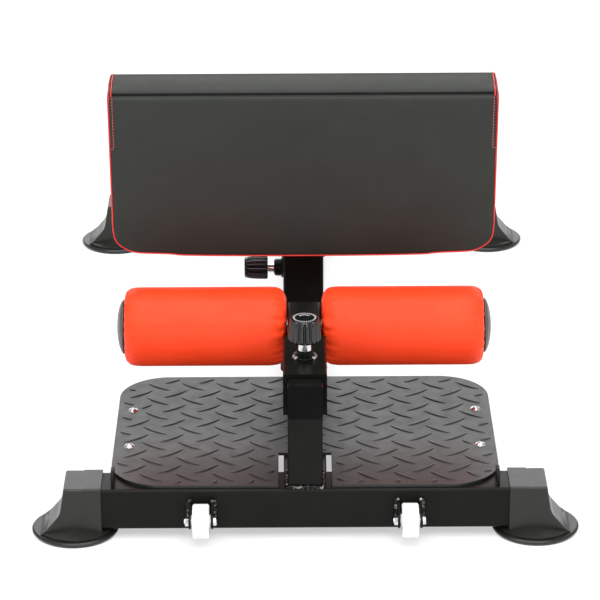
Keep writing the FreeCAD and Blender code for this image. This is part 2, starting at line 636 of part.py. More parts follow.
def build_guides():
    """Plastic guides of the sleeve and of the mast."""
    bore = "inner_tube + 2 * slide_gap"
    for name, sign in (("front", -1), ("rear", 1)):
        guide = new_body(f"sleeve_guide_{name}")
        body_part = new_sketch(guide, "XZ")
        draw_rectangle(body_part, "tube - 2 * sleeve_wall", "tube - 2 * sleeve_wall")
        pad(guide, body_part, "guide_length", backwards=sign < 0)
        flange = new_sketch(guide, "XZ")
        draw_rectangle(flange, "tube", "tube")
        pad(guide, flange, "guide_flange", backwards=sign > 0)
        opening = new_sketch(guide, "XZ")
        draw_rectangle(opening, bore, bore)
        pocket(guide, opening, "2 * guide_length + 2 * guide_flange", middle=True)
        y = FRONT if sign < 0 else f"{FRONT} + sleeve_length"
        place(guide, y=y, z=SLEEVE_MID)
    bush = new_body("mast_bush")
    plug = new_sketch(bush, "XY")
    draw_rectangle(plug, "tube - 2 * tube_wall", "tube - 2 * tube_wall")
    pad(bush, plug, "guide_length", backwards=True)
    flange = new_sketch(bush, "XY")
    draw_rectangle(flange, "bush_flange_width", "bush_flange_width")
    rim = pad(bush, flange, "bush_flange_thick")
    rim_x = value("bush_flange_width / 2")

    def rim_corner(a, b):
        return along("z")(a, b) and abs(abs(a.x) - rim_x) < 0.01
    fillet(bush, rim, rim_corner, "tube_corner")
    opening = new_sketch(bush, "XY")
    draw_rectangle(opening, bore, bore)
    pocket(bush, opening, "2 * guide_length + 2 * bush_flange_thick", middle=True)
    place(bush, y=MAST_Y, z=f"{RAIL_TOP} + mast_height")


def build_end_cap(label, facing, y, z):
    """Plastic cap in the open end of an inner tube."""
    cap = new_body(label)
    face = new_sketch(cap, "XZ")
    draw_rectangle(face, "inner_tube", "inner_tube")
    front = pad(cap, face, "cap_thick", backwards=facing > 0)
    fillet(cap, front, along("y"), "inner_corner")
    plug = new_sketch(cap, "XZ")
    plug_side = "inner_tube - 2 * tube_wall - 2 * hole_clearance"
    draw_rectangle(plug, plug_side, plug_side)
    pad(cap, plug, "cap_depth", backwards=facing < 0)
    place(cap, y=y, z=z)


def build_arm():
    """Sliding arm with its caps and the roller axle."""
    length = "( arm_back - arm_front - 2 * cap_thick )"
    middle = "( arm_front + arm_back ) / 2"
    arm = square_tube("arm_tube", "y", length, "inner_tube", "tube_wall", "inner_corner")
    locks = new_sketch(arm, "XY")
    for step in (-1, 0, 1, 2):
        draw_circle(locks, "index_radius", v=f"arm_pin_y + {step} * index_pitch - {middle}")
    pocket(arm, locks, "inner_tube", backwards=True)
    bore = new_sketch(arm, "YZ")
    draw_circle(bore, "axle_radius", u=f"axle_y - {middle}")
    pocket(arm, bore, "inner_tube", middle=True)
    place(arm, y=f"{FRONT} + {middle}", z=SLEEVE_MID)
    build_end_cap("arm_front_cap", -1, f"{FRONT} + arm_front + cap_thick", SLEEVE_MID)
    build_end_cap("arm_rear_cap", 1, f"{FRONT} + arm_back - cap_thick", SLEEVE_MID)

    half = "( roller_outer_x + roller_cap_gap )"
    bore_radius = "axle_radius - axle_wall"
    axle = revolved("roller_axle", [
        (bore_radius, f"- {half}"), ("axle_radius", f"- {half}"),
        ("axle_radius", half), (bore_radius, half)])
    place(axle, y=AXLE_Y, z=SLEEVE_MID, rotation=Rotation(Vector(0, 1, 0), 90))


def build_rollers():
    """Foam rollers on plastic cores, and the domed caps on the axle's ends."""
    length = "( roller_outer_x - roller_inner_x )"
    start = "foam_inset"
    stop = f"{length} - foam_inset"
    for name, side in (("left", -1), ("right", 1)):
        outward = Rotation(Vector(0, 1, 0), 90 * side)
        x = f"{side} * roller_inner_x"
        core = revolved(f"roller_core_{name}", [
            ("axle_radius + running_fit", "0"), ("core_radius", "0"),
            ("core_radius", length), ("axle_radius + running_fit", length)])
        place(core, x=x, y=AXLE_Y, z=SLEEVE_MID, rotation=outward)
        foam = revolved(f"roller_foam_{name}", [
            ("core_radius", start), ("roller_radius - roller_round", start),
            ("roller_radius - roller_round * 0.3", f"{start} + roller_round * 0.35"),
            ("roller_radius", f"{start} + roller_round"),
            ("roller_radius", f"{stop} - roller_round"),
            ("roller_radius - roller_round * 0.3", f"{stop} - roller_round * 0.35"),
            ("roller_radius - roller_round", stop), ("core_radius", stop)])
        place(foam, x=x, y=AXLE_Y, z=SLEEVE_MID, rotation=outward)
        cap_radius = "roller_cap_radius"
        dome = "roller_cap_dome"
        cap = revolved(f"roller_cap_{name}", [
            ("0", "- cap_depth"), ("axle_radius - axle_wall", "- cap_depth"),
            ("axle_radius - axle_wall", "0"), (cap_radius, "0"),
            (cap_radius, f"{dome} * 0.15"), (f"{cap_radius} * 0.92", f"{dome} * 0.38"),
            (f"{cap_radius} * 0.75", f"{dome} * 0.64"), (f"{cap_radius} * 0.5", f"{dome} * 0.86"),
            (f"{cap_radius} * 0.25", f"{dome} * 0.97"), ("0", dome)])
        place(cap, x=f"{side} * ( roller_outer_x + roller_cap_gap )", y=AXLE_Y, z=SLEEVE_MID,
              rotation=outward)


def build_pad_carriage():
    """Sliding pad post, bracket, gussets, board and cushion."""
    length = "( pad_post_top - pad_post_bottom )"
    middle = "( pad_post_top + pad_post_bottom ) / 2"
    post = square_tube("pad_post", "z", length, "inner_tube", "tube_wall", "inner_corner")
    locks = new_sketch(post, "YZ")
    for step in range(6):
        draw_circle(locks, "index_radius", v=f"pad_pin_z - {step} * index_pitch - {middle}")
    pocket(post, locks, "inner_tube")
    place(post, y=MAST_Y, z=middle)

    guide = new_body("pad_post_guide")
    side = "tube - 2 * tube_wall - 2 * slide_gap"
    outline = new_sketch(guide, "XY")
    draw_rectangle(outline, side, side)
    pad(guide, outline, "pad_guide_thick", backwards=True)
    place(guide, y=MAST_Y, z="pad_post_bottom")

    lid = new_body("pad_post_cap")
    outline = new_sketch(lid, "XY")
    draw_rectangle(outline, "inner_tube", "inner_tube")
    top = pad(lid, outline, "cap_thick")
    fillet(lid, top, along("z"), "inner_corner")
    plug = new_sketch(lid, "XY")
    plug_side = "inner_tube - 2 * tube_wall - 2 * hole_clearance"
    draw_rectangle(plug, plug_side, plug_side)
    pad(lid, plug, "cap_depth", backwards=True)
    place(lid, y=MAST_Y, z="pad_post_top")

    lean = Rotation(Vector(1, 0, 0), value("pad_tilt"))
    foot = dict(y=f"{FRONT} + pad_foot_y", z="pad_foot_z", rotation=lean)
    cushion = new_body("pad_cushion")
    face = new_sketch(cushion, "XZ")
    draw_rectangle(face, "pad_width", "pad_height", v="pad_height / 2")
    foam = pad(cushion, face, "pad_foam", backwards=True)

    def low_corner(a, b):
        return along("y")(a, b) and a.z < 1.0
    foam = fillet(cushion, foam, low_corner, "pad_low_corner")
    half_width = value("pad_width / 2")

    pad_top = value("pad_height")

    def top_corner(a, b):
        return along("y")(a, b) and a.z > pad_top - 0.01 and abs(abs(a.x) - half_width) < 0.01
    fillet(cushion, foam, top_corner, "pad_top_corner")
    place(cushion, **foot)

    board = new_body("pad_board")
    face = new_sketch(board, "XZ", lift="- pad_foam")
    draw_rectangle(face, "pad_width - 2 * board_inset", "pad_height - 2 * board_inset",
                   v="pad_height / 2")
    panel = pad(board, face, "board_thick", backwards=True)
    fillet(board, panel, along("y"), "pad_low_corner - board_inset")
    holes = new_sketch(board, "XZ", lift="- pad_foam")
    draw_pad_bolt_circles(holes)
    pocket(board, holes, "board_thick")
    place(board, **foot)

    bracket = new_body("pad_bracket")
    face = new_sketch(bracket, "XZ", lift="- pad_foam - board_thick")
    draw_rectangle(face, "bracket_width", "bracket_height",
                   v="bracket_low + bracket_height / 2")
    panel = pad(bracket, face, "bracket_thick", backwards=True)
    fillet(bracket, panel, along("y"), "bracket_corner")
    holes = new_sketch(bracket, "XZ", lift="- pad_foam - board_thick")
    draw_pad_bolt_circles(holes)
    pocket(bracket, holes, "bracket_thick")
    place(bracket, **foot)
    build_gussets()


def draw_pad_bolt_circles(sketch):
    centre = "bracket_low + bracket_height / 2"
    for x in ("- pad_bolt_x", "pad_bolt_x"):
        for z in (f"{centre} - pad_bolt_pitch / 2", f"{centre} + pad_bolt_pitch / 2"):
            draw_circle(sketch, "pad_bolt_radius + hole_clearance", x, z)


def build_gussets():
    """Two plates that weld the pad post's sides to the back of the bracket."""
    depth = "( pad_foam + board_thick + bracket_thick )"
    back = f"( pad_foot_y + {depth} * cos(pad_tilt * 1deg) )"
    start = f"( pad_foot_z + {depth} * sin(pad_tilt * 1deg) )"
    slope = "tan(pad_tilt * 1deg)"
    low_y = f"{back} - ( gusset_low - {start} ) * {slope}"
    high_y = f"{back} - ( pad_post_top - {start} ) * {slope}"
    for name, side in (("left", -1), ("right", 1)):
        gusset = new_body(f"pad_gusset_{name}")
        outline = new_sketch(gusset, "YZ")
        draw_outline(outline, [
            (low_y, "gusset_low"), ("gusset_reach - gusset_cut", "gusset_low"),
            ("gusset_reach", "gusset_low + gusset_cut_rise"),
            ("gusset_reach", "pad_post_top - gusset_drop"),
            (high_y, "pad_post_top")])
        pad(gusset, outline, "gusset_thick", middle=True)
        place(gusset, x=f"{side} * ( inner_tube / 2 + gusset_thick / 2 )", y=FRONT)


def build_pad_bolts():
    """Four bolts that clamp the bracket to the board."""
    head = value("pad_bolt_head")
    thick = value("pad_bolt_head_thick")
    grip = value("bracket_thick + board_thick")
    button = Part.makeCylinder(head, thick)
    button = button.makeFillet(thick * 0.45, [button.Edges[0]])
    key = [Rotation(Vector(0, 0, 1), 60 * i).multVec(Vector(head * 0.45, 0, 0)) for i in range(7)]
    key = Part.Face(Part.makePolygon(key)).extrude(Vector(0, 0, thick))
    key.translate(Vector(0, 0, thick * 0.5))
    bolt = button.fuse(Part.makeCylinder(value("pad_bolt_radius"), grip, Vector(0, 0, -grip)))
    bolt = bolt.cut(key)
    lean = Rotation(Vector(1, 0, 0), value("pad_tilt"))
    seat = Placement(Vector(0, value(f"{FRONT} + pad_foot_y"), value("pad_foot_z")), lean)
    outwards = Rotation(Vector(1, 0, 0), -90)
    centre = value("bracket_low + bracket_height / 2")
    reach = value("pad_foam + board_thick + bracket_thick")
    spots = [Vector(sx * value("pad_bolt_x"), reach, centre + sz * value("pad_bolt_pitch / 2"))
             for sx in (-1, 1) for sz in (-1, 1)]
    fused_copies("pad_bolts", bolt, [seat.multiply(Placement(s, outwards)) for s in spots])


def build_pull_pin(prefix, position, rotation):
    """Spring pull-pin: boss, barrel, plunger and fluted knob.

    Local Z points away from the tube that it locks, z = 0 on the tube's face.
    """
    boss_top = f"{prefix}_boss"
    barrel_top = f"( {prefix}_boss + {prefix}_shank )"
    boss = revolved(f"{prefix}_pin_boss", [
        ("pin_spigot", "0"), (f"{prefix}_boss_radius", "0"),
        (f"{prefix}_boss_radius", f"{boss_top} - 2"),
        (f"{prefix}_boss_radius - 2", boss_top), ("pin_spigot", boss_top)])
    place(boss, rotation=rotation, **position)
    nose_bore = "pin_nose + running_fit"
    rod_bore = "pin_rod + running_fit"
    barrel = revolved(f"{prefix}_pin_barrel", [
        (nose_bore, "- tube_wall"), ("pin_spigot", "- tube_wall"), ("pin_spigot", boss_top),
        (f"{prefix}_shank_radius", boss_top), (f"{prefix}_shank_radius", barrel_top),
        (rod_bore, barrel_top), (rod_bore, f"{barrel_top} - pin_lid"),
        ("pin_chamber", f"{barrel_top} - pin_lid"), ("pin_chamber", "pin_chamber_floor"),
        (nose_bore, "pin_chamber_floor")])
    place(barrel, rotation=rotation, **position)
    knob_base = f"( {barrel_top} + pin_gap )"
    rod_top = f"( {knob_base} + {prefix}_knob * 0.7 )"
    collar = "( pin_chamber_floor + pin_gap )"
    plunger = revolved(f"{prefix}_pin_plunger", [
        ("0", "- tube_wall - 0.5"), ("pin_nose - 1", "- tube_wall - 0.5"),
        ("pin_nose", "- tube_wall + 0.5"), ("pin_nose", collar), ("pin_collar", collar),
        ("pin_collar", f"{collar} + 2"), ("pin_rod", f"{collar} + 2"), ("pin_rod", rod_top),
        ("0", rod_top)])
    place(plunger, rotation=rotation, **position)

    radius = f"{prefix}_knob_radius"
    height = f"{prefix}_knob"
    knob_top = f"( {knob_base} + {height} )"
    knob = new_body(f"{prefix}_pin_knob")
    outline = new_sketch(knob, "XZ")
    draw_outline(outline, [
        (rod_bore, knob_base), (f"{radius} - knob_edge", knob_base),
        (radius, f"{knob_base} + knob_edge"), (f"{radius} * 0.96", f"{knob_base} + {height} * 0.6"),
        (f"{radius} * 0.85", f"{knob_top} - knob_edge"), (f"{radius} * 0.78", knob_top),
        ("0", knob_top),
        ("0", f"{rod_top} + pin_gap"), (rod_bore, f"{rod_top} + pin_gap")])
    turn(knob, outline)
    flute = new_sketch(knob, "XY", lift=knob_base)
    draw_circle(flute, "flute_radius", u=f"{radius} + flute_radius * 0.35")
    cut = pocket(knob, flute, f"{height} - knob_edge", backwards=True)
    ring = knob.newObject("PartDesign::PolarPattern", knob.Name + "_flutes")
    ring.Originals = [cut]
    ring.Axis = ([f for f in knob.Origin.OriginFeatures if f.Role == "Z_Axis"][0], [""])
    ring.Angle = 360.0
    ring.Occurrences = int(value("flute_count"))
    knob.Tip = ring
    doc.recompute()
    place(knob, rotation=rotation, **position)


def write_parts():
    """Check every object and sub-part, then write one STEP file each."""
    doc.recompute()
    for thing in doc.Objects:
        if "Invalid" in thing.State or "Error" in thing.State:
            raise RuntimeError(f"{thing.Label} failed: {thing.State}")
    os.makedirs("parts", exist_ok=True)
    for node in NODES:
        shape = node.Shape
        if shape.isNull() or not shape.isValid():
            raise RuntimeError(f"{node.Label} has a bad shape")
        shape.exportStep(f"parts/{node.Label}.step")
        print(f"{node.Label:24s} {shape.Volume:12.0f} mm3  {len(shape.Solids)} solid(s)")


build_frame()
build_weld("post_weld", "inner_tube", "front_tube_y", RAIL_TOP)
build_weld("mast_weld", "tube", MAST_Y, RAIL_TOP)
build_feet()
build_footplate()
build_plate_bolts()
build_wheels()
build_guides()
build_arm()
build_rollers()
build_pad_carriage()
build_pad_bolts()
build_pull_pin("arm", dict(y=f"{FRONT} + arm_pin_y", z=SLEEVE_TOP), Rotation())
build_pull_pin("pad", dict(x="- tube / 2", y=MAST_Y, z="pad_pin_z"),
               Rotation(Vector(0, 1, 0), -90))
write_parts()
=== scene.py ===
"""Looks of the squat bench: camera, lights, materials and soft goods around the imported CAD."""
import json
import math
import random

import bpy
import bmesh
from mathutils import Euler, Matrix, Vector, noise
from mathutils.bvhtree import BVHTree


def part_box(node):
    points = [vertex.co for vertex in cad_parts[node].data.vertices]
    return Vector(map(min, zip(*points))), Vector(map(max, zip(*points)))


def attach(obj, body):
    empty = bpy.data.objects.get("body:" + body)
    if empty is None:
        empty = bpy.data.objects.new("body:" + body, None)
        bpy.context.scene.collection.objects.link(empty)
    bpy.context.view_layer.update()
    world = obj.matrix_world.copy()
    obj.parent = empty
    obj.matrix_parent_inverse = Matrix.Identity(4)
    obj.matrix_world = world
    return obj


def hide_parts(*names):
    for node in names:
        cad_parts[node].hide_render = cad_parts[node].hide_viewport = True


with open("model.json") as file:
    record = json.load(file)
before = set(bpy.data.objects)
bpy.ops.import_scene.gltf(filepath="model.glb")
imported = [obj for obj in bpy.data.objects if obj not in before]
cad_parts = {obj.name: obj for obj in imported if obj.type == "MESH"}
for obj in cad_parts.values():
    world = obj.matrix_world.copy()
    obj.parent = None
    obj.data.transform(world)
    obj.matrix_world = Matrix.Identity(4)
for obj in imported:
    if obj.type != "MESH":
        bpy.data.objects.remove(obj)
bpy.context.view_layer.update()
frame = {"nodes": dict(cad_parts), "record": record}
scene = bpy.context.scene


# ------------------------------------------------------------------ small helpers
def node_box(name):
    low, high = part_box(name)
    return Vector(low), Vector(high)


def new_object(name, verts, faces, smooth=True):
    mesh = bpy.data.meshes.new(name)
    mesh.from_pydata([tuple(v) for v in verts], [], faces)
    mesh.update()
    piece = bpy.data.objects.new(name, mesh)
    scene.collection.objects.link(piece)
    if smooth:
        for polygon in mesh.polygons:
            polygon.use_smooth = True
    return piece


def fix_normals(piece):
    bm = bmesh.new()
    bm.from_mesh(piece.data)
    bmesh.ops.recalc_face_normals(bm, faces=bm.faces)
    bm.to_mesh(piece.data)
    bm.free()


def finish_piece(piece, body, material, replaces=()):
    """Give a piece its material, the body it rides on and the nodes it stands for."""
    piece.data.materials.clear()
    piece.data.materials.append(material)
    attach(piece, body)
    if replaces:
        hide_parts(*replaces)


def swept_tube(name, path, radius_at, sides=10, closed=False):
    """Round bar along a path; radius_at(i) gives the radius at point i."""
    count = len(path)
    verts, faces = [], []
    reference = Vector((0.0, 0.0, 1.0))
    for i, point in enumerate(path):
        before = path[(i - 1) % count] if closed or i > 0 else point
        after = path[(i + 1) % count] if closed or i < count - 1 else point
        tangent = (after - before).normalized()
        side = tangent.cross(reference)
        if side.length < 0.2:
            side = tangent.cross(Vector((0.0, 1.0, 0.0)))
        side.normalize()
        reference = side.cross(tangent).normalized()
        radius = radius_at(i)
        for k in range(sides):
            angle = 2 * math.pi * k / sides
            verts.append(point + side * (radius * math.cos(angle))
                         + reference * (radius * math.sin(angle)))
    rings = count if closed else count - 1
    for i in range(rings):
        a, b = i * sides, ((i + 1) % count) * sides
        for k in range(sides):
            n = (k + 1) % sides
            faces.append((a + k, a + n, b + n, b + k))
    if not closed:
        faces.append(tuple(reversed(range(sides))))
        last = (count - 1) * sides
        faces.append(tuple(range(last, last + sides)))
    piece = new_object(name, verts, faces)
    fix_normals(piece)
    return piece


def resample(path, step):
    """Points at an even spacing along a polyline."""
    out = [path[0].copy()]
    carried = 0.0
    for a, b in zip(path, path[1:]):
        length = (b - a).length
        if length == 0.0:
            continue
        at = step - carried
        while at <= length:
            out.append(a.lerp(b, at / length))
            at += step
        carried = length - (at - step)
    if (out[-1] - path[-1]).length > step * 0.3:
        out.append(path[-1].copy())
    return out


def smoothed(path, passes):
    """The same points with small wobbles ironed out; both ends stay."""
    for _ in range(passes):
        inner = [(a + b * 2.0 + c) / 4.0 for a, b, c in zip(path, path[1:], path[2:])]
        path = [path[0], *inner, path[-1]]
    return path


def join_pieces(name, pieces):
    """One mesh from several, in order."""
    bm = bmesh.new()
    for piece in pieces:
        bm.from_mesh(piece.data)
    mesh = bpy.data.meshes.new(name)
    bm.to_mesh(mesh)
    bm.free()
    for piece in pieces:
        bpy.data.objects.remove(piece)
    joined = bpy.data.objects.new(name, mesh)
    scene.collection.objects.link(joined)
    for polygon in mesh.polygons:
        polygon.use_smooth = True
    return joined


# ------------------------------------------------------------------ materials
class Shader:
    """Principled material with helpers for its noise, colour and bump nodes."""

    def __init__(self, name, **values):
        self.material = bpy.data.materials.new(name)
        self.material.use_nodes = True
        self.tree = self.material.node_tree
        self.principled = self.tree.nodes["Principled BSDF"]
        for socket, number in values.items():
            self.principled.inputs[socket.replace("_", " ")].default_value = number
        self.coords = self.tree.nodes.new("ShaderNodeTexCoord")
        self.bump_chain = None

    def noise(self, scale, detail=3.0, roughness=0.5, stretch=None):
        texture = self.tree.nodes.new("ShaderNodeTexNoise")
        texture.inputs["Scale"].default_value = scale
        texture.inputs["Detail"].default_value = detail
        texture.inputs["Roughness"].default_value = roughness
        self.tree.links.new(self._coordinates(stretch), texture.inputs["Vector"])
        return texture.outputs["Fac"]

    def cells(self, scale, stretch=None):
        texture = self.tree.nodes.new("ShaderNodeTexVoronoi")
        texture.feature = "DISTANCE_TO_EDGE"
        texture.inputs["Scale"].default_value = scale
        self.tree.links.new(self._coordinates(stretch), texture.inputs["Vector"])
        return texture.outputs["Distance"]

    def _coordinates(self, stretch):
        if stretch is None:
            return self.coords.outputs["Object"]
        mapping = self.tree.nodes.new("ShaderNodeMapping")
        mapping.inputs["Scale"].default_value = stretch
        self.tree.links.new(self.coords.outputs["Object"], mapping.inputs["Vector"])
        return mapping.outputs["Vector"]

    def ramp(self, source, low, high, at=(0.35, 0.65)):
        ramp = self.tree.nodes.new("ShaderNodeValToRGB")
        ramp.color_ramp.elements[0].position = at[0]
        ramp.color_ramp.elements[1].position = at[1]
        ramp.color_ramp.elements[0].color = low
        ramp.color_ramp.elements[1].color = high
        self.tree.links.new(source, ramp.inputs["Fac"])
        return ramp.outputs["Color"]

    def mottle(self, source, low, high, at=(0.35, 0.65)):
        """Base colour that drifts between two close colours."""
        self.tree.links.new(self.ramp(source, (*low, 1.0), (*high, 1.0), at),
                            self.principled.inputs["Base Color"])

    def rough(self, source, low, high, at=(0.35, 0.65)):
        self.tree.links.new(self.ramp(source, (low, low, low, 1.0), (high, high, high, 1.0), at),
                            self.principled.inputs["Roughness"])

    def bump(self, source, strength, distance):
        node = self.tree.nodes.new("ShaderNodeBump")
        node.inputs["Strength"].default_value = strength
        node.inputs["Distance"].default_value = distance
        self.tree.links.new(source, node.inputs["Height"])
        if self.bump_chain is not None:
            self.tree.links.new(self.bump_chain, node.inputs["Normal"])
        self.bump_chain = node.outputs["Normal"]
        self.tree.links.new(self.bump_chain, self.principled.inputs["Normal"])


def powder_coat(name, low, high, rough=(0.3, 0.42), peel=0.12, gloss=0.12):
    shader = Shader(name, Specular_IOR_Level=gloss)
    shader.mottle(shader.noise(35.0, 4.0), low, high)
    shader.rough(shader.noise(60.0, 5.0, 0.6), *rough)
    shader.bump(shader.noise(1400.0, 2.0), peel, 0.00025)
    shader.bump(shader.noise(160.0, 3.0), peel * 0.6, 0.0004)
    return shader.material


def vinyl(name, low, high, rough=(0.36, 0.48), grain=0.32, gloss=0.45):
    """Upholstery vinyl: pebble grain and slow colour drift."""
    shader = Shader(name, Specular_IOR_Level=gloss)
    shader.mottle(shader.noise(18.0, 4.0, 0.6), low, high)
    shader.rough(shader.noise(90.0, 4.0), *rough)
    shader.bump(shader.cells(900.0), grain, 0.00018)
    shader.bump(shader.noise(1900.0, 3.0), grain * 0.5, 0.00012)
    shader.bump(shader.noise(26.0, 3.0), 0.12, 0.0015)
    return shader.material


def moulded(name, low, high, rough=(0.4, 0.5), texture=0.15, scale=1800.0, gloss=0.5):
    """Moulded plastic or rubber with a fine eroded mould texture."""
    shader = Shader(name, Specular_IOR_Level=gloss)
    shader.mottle(shader.noise(40.0, 4.0), low, high)
    shader.rough(shader.noise(70.0, 4.0), *rough)
    shader.bump(shader.noise(scale, 2.0), texture, 0.0002)
    return shader.material


def bright_metal(name, low, high, rough=(0.14, 0.28), at=(0.35, 0.65), scale=90.0):
    shader = Shader(name, Metallic=1.0)
    shader.mottle(shader.noise(scale, 4.0), low, high, at)
    shader.rough(shader.noise(240.0, 5.0, 0.6, stretch=(1.0, 1.0, 5.0)), *rough)
    shader.bump(shader.noise(900.0, 3.0), 0.08, 0.0001)
    return shader.material


FRAME_BLACK = powder_coat("frame_powder_coat", (0.0050, 0.0052, 0.0040), (0.0066, 0.0068, 0.0054))
PLATE_BLACK = powder_coat("plate_powder_coat", (0.012, 0.012, 0.0125), (0.017, 0.017, 0.0175),
                          rough=(0.34, 0.44), peel=0.2, gloss=0.46)
FOOT_RUBBER = moulded("foot_rubber", (0.0110, 0.0114, 0.0098), (0.0130, 0.0134, 0.0118),
                      rough=(0.27, 0.31), texture=0.12, gloss=0.38)
# Guide made near-black and matte: painted shade for the dark gap inside the sleeve's opening round the
# arm.
GUIDE_PAINTED_SHADE = moulded("guide_painted_shade_plastic", (0.002, 0.002, 0.002), (0.004, 0.004, 0.004),
                      rough=(0.7, 0.8), gloss=0.08)
CAP_BLACK = moulded("cap_plastic", (0.004, 0.004, 0.004), (0.006, 0.006, 0.006),
                    rough=(0.3, 0.4), gloss=0.2)
KNOB_BLACK = moulded("knob_plastic", (0.0025, 0.0025, 0.0025), (0.004, 0.004, 0.004),
                     rough=(0.1, 0.18), texture=0.04, gloss=0.6)
ROLLER_CAP = moulded("roller_cap_plastic", (0.055, 0.044, 0.040), (0.066, 0.054, 0.049),
                     rough=(0.34, 0.42), texture=0.1, gloss=0.45)
PAINTED_WELD = bright_metal("painted_weld", (0.02, 0.02, 0.02), (0.34, 0.32, 0.32),
                            rough=(0.2, 0.4), at=(0.5, 0.72), scale=260.0)
BARE_WELD = bright_metal("bare_weld", (0.3, 0.28, 0.3), (0.55, 0.52, 0.54), rough=(0.25, 0.5))
WHEEL_WHITE = moulded("wheel_nylon", (0.74, 0.74, 0.72), (0.82, 0.82, 0.8), rough=(0.35, 0.45))
HARDWARE = bright_metal("bright_zinc", (0.62, 0.62, 0.63), (0.78, 0.78, 0.79))
ROLLER_VINYL = vinyl("roller_vinyl", (0.90, 0.052, 0.011), (0.95, 0.060, 0.014),
                     rough=(0.42, 0.52), gloss=0.2)
PAD_VINYL = vinyl("pad_vinyl", (0.0240, 0.0265, 0.0230), (0.0280, 0.0305, 0.0270),
                  rough=(0.45, 0.5), gloss=0.2)
# Near-black, rough strip colour: painted shade for the dark valley of the crease between face and top
# panel.
CREASE_PAINTED_SHADE = moulded("crease_painted_shade", (0.008, 0.008, 0.008), (0.011, 0.011, 0.011),
                     rough=(0.75, 0.9), texture=0.4, gloss=0.1)
PIPING_RED = vinyl("piping_vinyl", (0.62, 0.02, 0.012), (0.72, 0.03, 0.018), grain=0.15)
THREAD_RED = moulded("red_thread", (0.7, 0.1, 0.1), (0.8, 0.14, 0.14), rough=(0.5, 0.65),
                     texture=0.5, scale=2600.0)
BOARD_CLOTH = moulded("board_backing_cloth", (0.014, 0.014, 0.014), (0.0165, 0.0165, 0.0165),
                      rough=(0.75, 0.9), texture=0.6, scale=1500.0)
PRINT_GREY = moulded("printed_ring", (0.55, 0.55, 0.55), (0.65, 0.65, 0.65))

SLOT_MATERIALS = {
    "frame_black": FRAME_BLACK, "foot_rubber": FOOT_RUBBER, "plate_black": PLATE_BLACK,
    "hardware": HARDWARE, "wheel_white": WHEEL_WHITE, "guide_black": GUIDE_PAINTED_SHADE,
    "cap_black": CAP_BLACK, "roller_vinyl": ROLLER_VINYL, "pad_vinyl": PAD_VINYL,
    "pad_board": BOARD_CLOTH, "knob_black": KNOB_BLACK,
}


NODE_MATERIALS = {"roller_cap_left": ROLLER_CAP, "roller_cap_right": ROLLER_CAP}


def dress_cad_nodes():
    slots = {s["node"]: s["material_slot"] for s in frame["record"]["subparts"]}
    for name, piece in frame["nodes"].items():
        for slot in piece.material_slots:
            slot.material = NODE_MATERIALS.get(name, SLOT_MATERIALS[slots[name]])


# ------------------------------------------------------------------ cloth
def apply_modifiers(piece):
    graph = bpy.context.evaluated_depsgraph_get()
    mesh = bpy.data.meshes.new_from_object(piece.evaluated_get(graph))
    piece.modifiers.clear()
    piece.data = mesh


def inflate(piece, voxel, pressure, cap, pinned=None):
    """Cover made of cloth and blown up against its seams; pinned(point) is 0 to 1."""
    remesh = piece.modifiers.new("remesh", "REMESH")
    remesh.mode = "VOXEL"
    remesh.voxel_size = voxel
    apply_modifiers(piece)
    start = [v.co.copy() for v in piece.data.vertices]
    cloth = piece.modifiers.new("cloth", "CLOTH")
    settings = cloth.settings
    settings.quality = 5
    settings.mass = 0.3
    settings.tension_stiffness = 40.0
    settings.compression_stiffness = 40.0
    settings.bending_stiffness = 2.0
    settings.use_pressure = True
    settings.uniform_pressure_force = pressure
    settings.effector_weights.gravity = 0.0
    if pinned is not None:
        group = piece.vertex_groups.new(name="seam")
        for v in piece.data.vertices:
            weight = pinned(v.co)
            if weight > 0.0:
                group.add([v.index], weight, "REPLACE")
        settings.vertex_group_mass = "seam"
    cloth.point_cache.frame_start = 1
    cloth.point_cache.frame_end = 20
    for step in range(1, 21):
        scene.frame_set(step)
    graph = bpy.context.evaluated_depsgraph_get()
    moved = [v.co.copy() for v in piece.evaluated_get(graph).data.vertices]
    piece.modifiers.clear()
    piece.vertex_groups.clear()
    for v, old, new in zip(piece.data.vertices, start, moved):
        shift = new - old
        if shift.length > cap:
            shift *= cap / shift.length
        v.co = old + shift
    scene.frame_set(1)
    smooth = piece.modifiers.new("smooth", "SUBSURF")
    smooth.levels = 1
    apply_modifiers(piece)
    for polygon in piece.data.polygons:
        polygon.use_smooth = True


# ------------------------------------------------------------------ calf pad
PAD_TILT = math.radians(9.1)
PAD_WIDE, PAD_TALL, PAD_DEEP, BOARD_DEEP = 0.465, 0.215, 0.050, 0.012
PAD_COVER = PAD_DEEP + BOARD_DEEP - 0.001
PAD_CORNER = 0.030
PAD_SAG = 0.0075
PAD_LOW = node_box("pad_cushion")[0]
CREASE_BACK = 0.0055            # seam on the top panel, behind the face
FACE_WELT, TOP_WELT = 0.0009, 0.0005
PAD_FOOT = Vector((0.0, PAD_LOW.y + PAD_TALL * math.sin(PAD_TILT), PAD_LOW.z))
PAD_UP = Vector((0.0, -math.sin(PAD_TILT), math.cos(PAD_TILT)))
PAD_BACK = Vector((0.0, math.cos(PAD_TILT), math.sin(PAD_TILT)))


def pad_point(x, up, back):
    return PAD_FOOT + Vector((x, 0.0, 0.0)) + PAD_UP * up + PAD_BACK * back


def pad_local(point):
    offset = point - PAD_FOOT
    return offset.x, offset.dot(PAD_UP), offset.dot(PAD_BACK)


def pad_foot_sag(x, up):
    """How far the lower edge hangs below a straight line."""
    across = max(0.0, 1.0 - abs(x / (PAD_WIDE / 2)) ** 2.6)
    return PAD_SAG * across * max(0.0, 1.0 - up / (PAD_TALL * 0.5))


